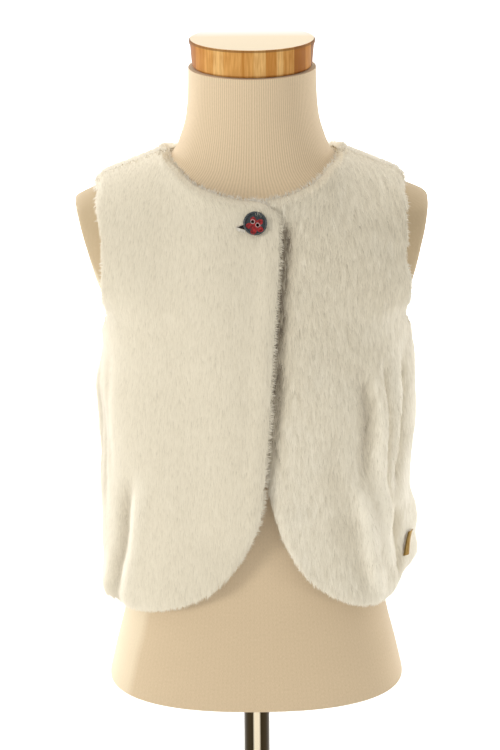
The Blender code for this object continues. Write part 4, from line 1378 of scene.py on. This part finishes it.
def button_material():
    """Slate resin with a red flower and painted highlights as pale rings round the holes, by the "face" map
    in millimetres.
    """
    nodes = Nodes("button_resin", 0.35, Coat_Weight=0.12, Coat_Roughness=0.12)
    face = nodes.add("ShaderNodeUVMap", uv_map="face")
    x, y, _ = nodes.split(face)
    x = nodes.minus(x, FLOWER_CENTRE[0])
    y = nodes.minus(y, FLOWER_CENTRE[1])
    turn = nodes.times(nodes.math("ARCTAN2", y, x), FLOWER_PETALS / 2)
    lobes = nodes.size(nodes.math("COSINE", turn))
    petal_edge = nodes.plus(nodes.times(lobes, 0.5 * FLOWER_RADIUS), 0.5 * FLOWER_RADIUS)
    petal = nodes.math("LESS_THAN", nodes.length(x, y), petal_edge)
    slate = nodes.mottle(face, 0.9, (0.014, 0.019, 0.021), (0.045, 0.058, 0.062))
    reds = [(0.35, (0.10, 0.005, 0.006)), (0.65, (0.46, 0.022, 0.020))]
    red = nodes.ramp(nodes.noise(face, 0.55), reds)
    printed = nodes.mix(petal, slate, red)
    # Pale rings round the holes are painted highlights
    for sign in (1, -1):
        hole = (sign * BUTTON_HOLE_SPREAD / MM, 0, 0)
        away = nodes.add("ShaderNodeVectorMath", "Value", {0: face, 1: hole}, operation="DISTANCE")
        off_ring = nodes.size(nodes.minus(away, BUTTON_HOLE_RADIUS / MM + HOLE_HIGHLIGHT))
        ring = nodes.math("LESS_THAN", off_ring, HOLE_HIGHLIGHT_WIDTH / 2)
        printed = nodes.mix(ring, printed, (0.5, 0.48, 0.44, 1))
    return nodes.colour(printed)


def steel_material():
    """The base's brushed steel, turned on a lathe."""
    nodes = Nodes("brushed_steel", 0.3, 1.0)
    x, y, _ = nodes.split(nodes.place())
    rings = nodes.noise(nodes.add("ShaderNodeCombineXYZ", 0, {0: nodes.length(x, y)}), 2600.0)
    nodes.link(nodes.between(rings, 0.0, 1.0, 0.24, 0.42), nodes.shader.inputs["Roughness"])
    return nodes.colour(nodes.ramp(rings, [(0.3, (0.58, 0.57, 0.55)), (0.7, (0.70, 0.69, 0.67))]))


def round_places(radius, height, angles):
    """Places round the axis at one height."""
    return [(radius * math.cos(a), radius * math.sin(a), height) for a in angles]


def turned_to(place, direction):
    """Takes a shape from the origin to a place, with its +Z along a direction."""
    turn = Vector((0, 0, 1)).rotation_difference(Vector(direction)).to_matrix().to_4x4()
    return Matrix.Translation(place) @ turn


def add_rod(builder, place, radius, length, steps):
    """A round bar along its own +Z, added to a bmesh."""
    sizes = {"radius1": radius, "radius2": radius, "depth": length}
    bmesh.ops.create_cone(builder, cap_ends=True, segments=steps, matrix=place, **sizes)


def lathe(profile, steps=TURNED_STEPS):
    """A solid turned about +Z from (radius, height) points that run from the axis back to the axis."""
    builder = bmesh.new()
    angles = [2 * math.pi * k / steps for k in range(steps)]
    rings = []
    for radius, height in profile:
        places = round_places(radius, height, angles if radius else [0])
        rings.append([builder.verts.new(place) for place in places])
    for lower, upper in zip(rings, rings[1:]):
        for k in range(steps):
            after = (k + 1) % steps
            corners = [lower[k % len(lower)], lower[after % len(lower)]]
            corners += [upper[after % len(upper)], upper[k % len(upper)]]
            builder.faces.new(list(dict.fromkeys(corners)))
    return mesh_from(builder, 40)


def rod(radius, foot, top, steps=TURNED_STEPS):
    """A round bar about +Z between two heights."""
    return lathe([(0, foot), (radius, foot), (radius, top), (0, top)], steps)


def cut_by_plate(plate, heights, x, y):
    """How far out the form's points are once one arm plate has cut them, with a soft rim."""
    out = plate.out * MM - plate.lean * (ARM_PLATE_HEIGHT - heights)
    below = np.maximum(0, ARM_PLATE_FOOT - heights)
    limit = out / math.cos(ARM_PLATE_TURN) - plate.side * y * math.tan(ARM_PLATE_TURN) + below
    return limit - ARM_PLATE_ROUND * np.logaddexp(0, (limit - x) / ARM_PLATE_ROUND)


def form_rings():
    """The torso's rings of places, from its underside up, each from the centre front by the left side."""
    heights = np.linspace(FORM_UNDERSIDE, NECK_TOP, FORM_ROWS)
    x, y, along = half_rings(*(FORM[name](heights) for name in Section._fields[1:]))
    shares = np.linspace(0, 1, FORM_COLUMNS // 2 + 1)
    places = along[:, -1:] * shares
    x, y = [np.stack([np.interp(p, a, c) for p, a, c in zip(places, along, column)]) for column in (x, y)]
    left, right = [cut_by_plate(plate, heights[:, None], x, y) for plate in ARM_PLATES]
    ring_x = np.concatenate([left, -right[:, -2:0:-1]], axis=1)
    ring_x[:, [0, FORM_COLUMNS // 2]] = 0
    ring_y = np.concatenate([y, y[:, -2:0:-1]], axis=1)
    ring_z = np.broadcast_to(heights[:, None], ring_x.shape)
    return np.stack([ring_x, ring_y, ring_z], axis=-1)


def make_form():
    """The padded torso under its jersey cover, with flat arm plates and a socket for the pole."""
    torso = form_rings()
    angles = np.arctan2(torso[0, :, 1], torso[0, :, 0])
    bore = POLE_RADIUS + SEAM_GAP
    socket = [round_places(bore, FORM_UNDERSIDE + depth, angles) for depth in (POLE_IN_FORM + SEAM_GAP, 0)]
    builder = bmesh.new()
    cover = builder.loops.layers.uv.new("cover")
    rings = [[builder.verts.new(place) for place in ring] for ring in [*socket, *torso]]
    for lower, upper in zip(rings, rings[1:]):
        for k in range(FORM_COLUMNS):
            after = (k + 1) % FORM_COLUMNS
            face = builder.faces.new([lower[k], lower[after], upper[after], upper[k]])
            for loop, step in zip(face.loops, [k, k + 1, k + 1, k]):
                loop[cover].uv = (step / FORM_COLUMNS * COVER_WIDTH, loop.vert.co.z)
    builder.faces.new(rings[0][::-1])
    builder.faces.new(rings[-1])
    form = add_object("dress_form", mesh_from(builder, 50), jersey_material())
    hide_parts("form_body")
    return form


def make_neck_cap():
    """The wooden disc on the neck, a little wider at its top."""
    foot = NECK_TOP + SEAM_GAP
    profile = [
        (0, foot),
        (CAP_FOOT_RADIUS - CAP_CHAMFER, foot),
        (CAP_FOOT_RADIUS, foot + CAP_CHAMFER),
        (CAP_TOP_RADIUS - CAP_CHAMFER / 2, CAP_TOP - 3 * CAP_CHAMFER),
        (CAP_TOP_RADIUS, CAP_TOP - 1.7 * CAP_CHAMFER),
        (CAP_TOP_RADIUS, CAP_TOP - CAP_CHAMFER / 2),
        (CAP_TOP_RADIUS - CAP_CHAMFER / 2, CAP_TOP),
        (0, CAP_TOP),
    ]
    cap = add_object("wooden_cap", lathe(profile), wood_material())
    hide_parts("neck_cap")


def make_stand():
    """The pole and the round base, turned finer than their solids."""
    tube = rod(POLE_RADIUS, POLE_FOOT + SEAM_GAP, FORM_UNDERSIDE + POLE_IN_FORM)
    pole = add_object("steel_pole", tube, chrome_material())
    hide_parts("pole")
    bore = POLE_RADIUS + SEAM_GAP
    profile = [
        (0, 0),
        (BASE_RADIUS - BASE_FOOT_CHAMFER, 0),
        (BASE_RADIUS, BASE_FOOT_CHAMFER),
        (BASE_RADIUS, BASE_EDGE),
        (BASE_RADIUS - BASE_SHOULDER[0], BASE_EDGE + BASE_SHOULDER[1]),
        *((BOSS_RADIUS + out, BASE_THICKNESS + up) for out, up in BOSS_FLARE),
        (BOSS_RADIUS, BOSS_TOP - BOSS_CHAMFER),
        (BOSS_RADIUS - BOSS_CHAMFER, BOSS_TOP),
        (bore, BOSS_TOP),
        (bore, POLE_FOOT),
        (0, POLE_FOOT),
    ]
    base = add_object("steel_base", lathe(profile), steel_material())
    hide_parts("base")


def room_round_button(flat):
    """How long the right front's hair may be: none under the button, and none that hangs over its slit."""
    across, height = flat[:, 0], flat[:, 1]
    level = slit_level()
    room = np.full(len(flat), np.inf)
    run = np.clip((across - SLIT_FROM) / (SLIT_MOUTH - SLIT_FROM), 0, 1)
    above = height - level - SLIT_OPEN / 2 * run
    beside_slit = (across > SLIT_FROM) & (across < BUTTON_ACROSS) & (above > -SLIT_OPEN)
    room[beside_slit] = np.abs(above[beside_slit])
    in_slit = beside_slit & (np.abs(height - level) < SLIT_OPEN / 2 * run + SLIT_SHADOW_GAP)
    room[in_slit] = 0
    room[np.hypot(across - BUTTON_ACROSS, height - BUTTON_HEIGHT) < BARE_RADIUS] = 0
    return room


def room_under_right_front(flat):
    """How long the left front's hair may be: none well under the right front."""
    across, height = flat[:, 0], flat[:, 1]
    straight = (height > RIGHT_CUT.edge[0].height * MM) & (height < RIGHT_CUT.edge[-1].height * MM)
    covered = straight & (across < RIGHT_PAST_CENTRE(height) - COVERED_HAIR)
    return np.where(covered, 0, np.inf)


def face_map(mesh):
    """Maps a mesh flat by its own X and Y, in millimetres."""
    face = mesh.uv_layers.new(name="face")
    for loop in mesh.loops:
        place = mesh.vertices[loop.vertex_index].co
        face.data[loop.index].uv = (place.x / MM, place.y / MM)


def button_seat(lift):
    """Takes a shape to the button's place, lifted off the inside of the right front, with its +Z outwards."""
    points, normals = inner_points(np.array([(BUTTON_ACROSS, BUTTON_HEIGHT)]), over=True)
    return turned_to(points[0] + normals[0] * lift, normals[0])


def make_button():
    """A round button with a raised rim and two holes, flat on the right front's fur."""
    half = BUTTON_RIM / 2
    middle = BUTTON_RADIUS - half
    turns = np.linspace(-0.5, 0.5, RIM_POINTS) * math.pi
    rim = [(middle + half * math.cos(a), BUTTON_THICKNESS / 2 * (1 + math.sin(a))) for a in turns]
    rim += [(middle - half * k, BUTTON_THICKNESS - BUTTON_WELL * k**2) for k in (0.5, 1, 1.3)]
    well = BUTTON_THICKNESS - 1.5 * BUTTON_WELL
    mesh = lathe([(0, 0), *rim, (BUTTON_FLOOR, well), (0, well)], BUTTON_STEPS)
    for sign in (1, -1):
        hole = rod(BUTTON_HOLE_RADIUS, -BUTTON_THICKNESS, 2 * BUTTON_THICKNESS, THREAD_STEPS)
        hole.transform(Matrix.Translation((sign * BUTTON_HOLE_SPREAD, 0, 0)))
        mesh = cut_out(mesh, hole)
    face_map(mesh)
    mesh.transform(button_seat(FUR_THICKNESS + SEAM_GAP) @ Matrix.Rotation(BUTTON_TURN, 4, "Z"))
    button = add_object("printed_button", mesh, button_material())
    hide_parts("button")


def make_stitches():
    """The buttonhole's stitches, side by side across the two lips of its slit."""
    builder = bmesh.new()
    level = slit_level()
    for sign in (1, -1):
        for k in range(STITCHES):
            run = (k + 0.5) / STITCHES
            across = SLIT_FROM + run * (SLIT_MOUTH - SLIT_FROM)
            lip = level + sign * SLIT_OPEN / 2 * run
            ends = np.array([(across, lip - sign * STITCH_TURN), (across, lip + sign * STITCH_LENGTH)])
            points, normals = inner_points(ends, over=True)
            points += normals * CLOTH_THICKNESS
            along = Vector(points[1] - points[0])
            place = turned_to((points[0] + points[1]) / 2, along)
            add_rod(builder, place, STITCH_RADIUS, along.length, STITCH_STEPS)
    stitches = add_object("buttonhole_stitches", mesh_from(builder, 60), thread_material())


def make_shank_and_slit_shadow():
    """The button's dark thread shank, and a near-black sheet a little below the fur that fills the slit as
    painted shadow.
    """
    half = SLIT_OPEN / 2 - SLIT_SHADOW_GAP
    level = slit_level()
    corners = [(SLIT_FROM + 2 * SLIT_SHADOW_GAP, level), (SLIT_MOUTH, level - half), (SLIT_MOUTH, level + half)]
    points, normals = inner_points(np.array(corners), over=True)
    builder = bmesh.new()
    # A near-black sheet a little below the fur fills the slit: painted shadow
    top, foot = [
        [builder.verts.new(place) for place in points + normals * (CLOTH_THICKNESS - depth)]
        for depth in (SLIT_SHADOW_DEPTH, 2 * SLIT_SHADOW_DEPTH)
    ]
    builder.faces.new(top)
    builder.faces.new(foot[::-1])
    for k in range(3):
        builder.faces.new([top[k - 1], foot[k - 1], foot[k], top[k]])
    length = FUR_THICKNESS - CLOTH_THICKNESS - SEAM_GAP
    add_rod(builder, button_seat((CLOTH_THICKNESS + FUR_THICKNESS) / 2), SHANK_RADIUS, length, THREAD_STEPS)
    shank = add_object("button_shank_and_slit_shadow", mesh_from(builder, 30), thread_and_slit_shadow_material())


def make_label():
    """A small arched metal plate that follows the left front's fur beside the side seam."""
    rows = np.linspace(-0.5, 0.5, LABEL_ROWS)[:, None]
    columns = np.linspace(-0.5, 0.5, LABEL_COLUMNS)[None]
    heights = LABEL_HEIGHT + rows * LABEL_LENGTH + columns * 0
    leaning = LABEL_LEAN * rows * LABEL_LENGTH
    across = seam_distance(heights) + LABEL_FROM_SEAM + columns * LABEL_WIDTH + leaning
    points, normals = inner_points(np.stack([across, heights], axis=-1))
    arch = LABEL_ARCH * (1 - (2 * columns) ** 2) + rows * 0
    inner = points + normals * (FUR_THICKNESS + LABEL_SEAT + arch)[..., None]
    label = add_object("gilt_tag", wall_mesh(inner, inner + normals * LABEL_THICKNESS), gold_material())
    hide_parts("label")


# A panel with its cut, how many hairs each layer of its pile has, how they lie, and its free edges
Coat = namedtuple("Coat", "name panel cut hairs tousle roundness room edges")


def front_edges(shown_rows):
    """The free edges of a front's grid, each with how far its fringe leans sideways rather than down."""
    return [
        ((0, slice(None)), FRINGE_SIDEWAYS),
        ((shown_rows, 0), FRONT_EDGE_SIDEWAYS),
        ((-1, slice(0, NECK_COLUMNS)), FRINGE_SIDEWAYS),
        ((slice(SEAM_ROWS, None), -1), FRINGE_SIDEWAYS),
        ((-1, slice(NECK_COLUMNS, None)), SHOULDER_SIDEWAYS),
    ]


def back_edges():
    """The same for the back: hem, neck, armholes and shoulders."""
    return [
        ((0, slice(None)), FRINGE_SIDEWAYS),
        ((-1, slice(SHOULDER_COLUMNS, -SHOULDER_COLUMNS)), FRINGE_SIDEWAYS),
        ((slice(SEAM_ROWS, None), 0), FRINGE_SIDEWAYS),
        ((slice(SEAM_ROWS, None), -1), FRINGE_SIDEWAYS),
        ((-1, slice(0, SHOULDER_COLUMNS + 1)), SHOULDER_SIDEWAYS),
        ((-1, slice(-SHOULDER_COLUMNS - 1, None)), SHOULDER_SIDEWAYS),
    ]


def make_gilet():
    """The two fronts and the back, each a cloth with its pile."""
    fur = fur_material()
    backing = cloth_material()
    front_thickness = cloth_thickness(True)
    half = cloth_thickness(False)
    back_thickness = np.concatenate([half[:, :0:-1], half], axis=1)
    right = make_panel(front_pattern(RIGHT_CUT, RIGHT_PAST_CENTRE), front_thickness, over=True)
    left = make_panel(front_pattern(LEFT_CUT, LEFT_PAST_CENTRE), front_thickness, under=True)
    back = make_panel(back_pattern(), back_thickness, behind=True)
    right_edges = front_edges(slice(None))
    left_edges = front_edges(slice(0, SHOWN_EDGE_ROWS))
    coats = [
        Coat("right_front", right, RIGHT_PANEL, 40000, 0.14, 0.15, room_round_button, right_edges),
        Coat("left_front", left, LEFT_PANEL, 40000, 0.75, 0.35, room_under_right_front, left_edges),
        Coat("back", back, BACK_PANEL, 46000, 0.5, 0.3, None, back_edges()),
    ]
    rng = np.random.default_rng(SEED)
    for coat in coats:
        mesh = wall_mesh(coat.panel.inner, coat.panel.outer)
        if coat.name == "right_front":
            mesh = cut_out(mesh, buttonhole())
        cloth = add_object(coat.name + "_cloth", mesh, backing)
        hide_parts(coat.name)
        fringes = [fringe(coat.panel, edge, sideways, rng) for edge, sideways in coat.edges]
        layers = [pile(coat.panel, coat.hairs, rng, coat.tousle, coat.room) for _ in range(2)]
        under = fur_object(coat.name + "_undercoat", layers[0], fur, coat.roundness)
        over = fur_object(coat.name + "_overcoat", all_hairs(layers[1], *fringes), fur, coat.roundness)


def make_camera():
    """The camera at the photograph's place and angle."""
    level = math.cos(CAMERA_PITCH)
    forward = Vector((-math.sin(CAMERA_YAW) * level, math.cos(CAMERA_YAW) * level, -math.sin(CAMERA_PITCH)))
    right = Vector((math.cos(CAMERA_YAW), math.sin(CAMERA_YAW), 0))
    up = right.cross(forward)
    rolled_right = right * math.cos(CAMERA_ROLL) - up * math.sin(CAMERA_ROLL)
    rolled_up = right * math.sin(CAMERA_ROLL) + up * math.cos(CAMERA_ROLL)
    data = bpy.data.cameras.new("camera")
    data.sensor_fit = "VERTICAL"
    data.sensor_height = SENSOR_HEIGHT
    data.lens = SENSOR_HEIGHT * FOCAL_PIXELS / PICTURE_HEIGHT
    camera = bpy.data.objects.new("camera", data)
    axes = Matrix((rolled_right, rolled_up, -forward)).transposed().to_4x4()
    camera.matrix_world = Matrix.Translation(CAMERA_PLACE) @ axes
    bpy.context.scene.collection.objects.link(camera)
    bpy.context.scene.camera = camera


def make_light(lamp):
    """A soft square light that faces a point."""
    data = bpy.data.lights.new(lamp.name, "AREA")
    data.size = lamp.size
    data.spread = math.radians(lamp.spread)
    data.energy = lamp.power
    light = bpy.data.objects.new(lamp.name, data)
    light.location = lamp.place
    light.rotation_euler = (Vector(lamp.target) - Vector(lamp.place)).to_track_quat("-Z", "Y").to_euler()
    bpy.context.scene.collection.objects.link(light)


def make_floor():
    """A white floor just under the base."""
    builder = bmesh.new()
    bmesh.ops.create_grid(builder, x_segments=1, y_segments=1, size=FLOOR_SIZE)
    mesh = bpy.data.meshes.new("studio_floor")
    builder.to_mesh(mesh)
    builder.free()
    mesh.materials.append(Nodes("studio_floor", 0.9).colour((0.9, 0.9, 0.9, 1)))
    floor = bpy.data.objects.new("studio_floor", mesh)
    floor.location.z = -FLOOR_DROP
    bpy.context.scene.collection.objects.link(floor)


def make_surround():
    """A white surround, bright behind the part and softer in front of it."""
    world = bpy.data.worlds.new("studio")
    world.use_nodes = True
    tree = world.node_tree
    background = tree.nodes["Background"]
    background.inputs["Color"].default_value = (1, 1, 1, 1)
    way = tree.nodes.new("ShaderNodeTexCoord")
    parts = tree.nodes.new("ShaderNodeSeparateXYZ")
    glow = tree.nodes.new("ShaderNodeMapRange")
    for socket, value in zip(list(glow.inputs)[1:5], SURROUND_RUN + SURROUND_GLOW):
        socket.default_value = value
    tree.links.new(way.outputs["Generated"], parts.inputs[0])
    tree.links.new(parts.outputs["Y"], glow.inputs["Value"])
    tree.links.new(glow.outputs[0], background.inputs["Strength"])
    bpy.context.scene.world = world


def make_studio():
    """Floor, surround and lights: a key light from the upper left, and weaker ones from the top and sides."""
    make_floor()
    make_surround()
    for lamp in LAMPS:
        make_light(lamp)
    bpy.context.scene.view_settings.view_transform = "Standard"


def main():
    make_camera()
    make_studio()
    form = make_form()
    make_neck_cap()
    make_stand()
    make_gilet()
    make_stitches()
    make_shank_and_slit_shadow()
    make_button()
    make_label()


main()
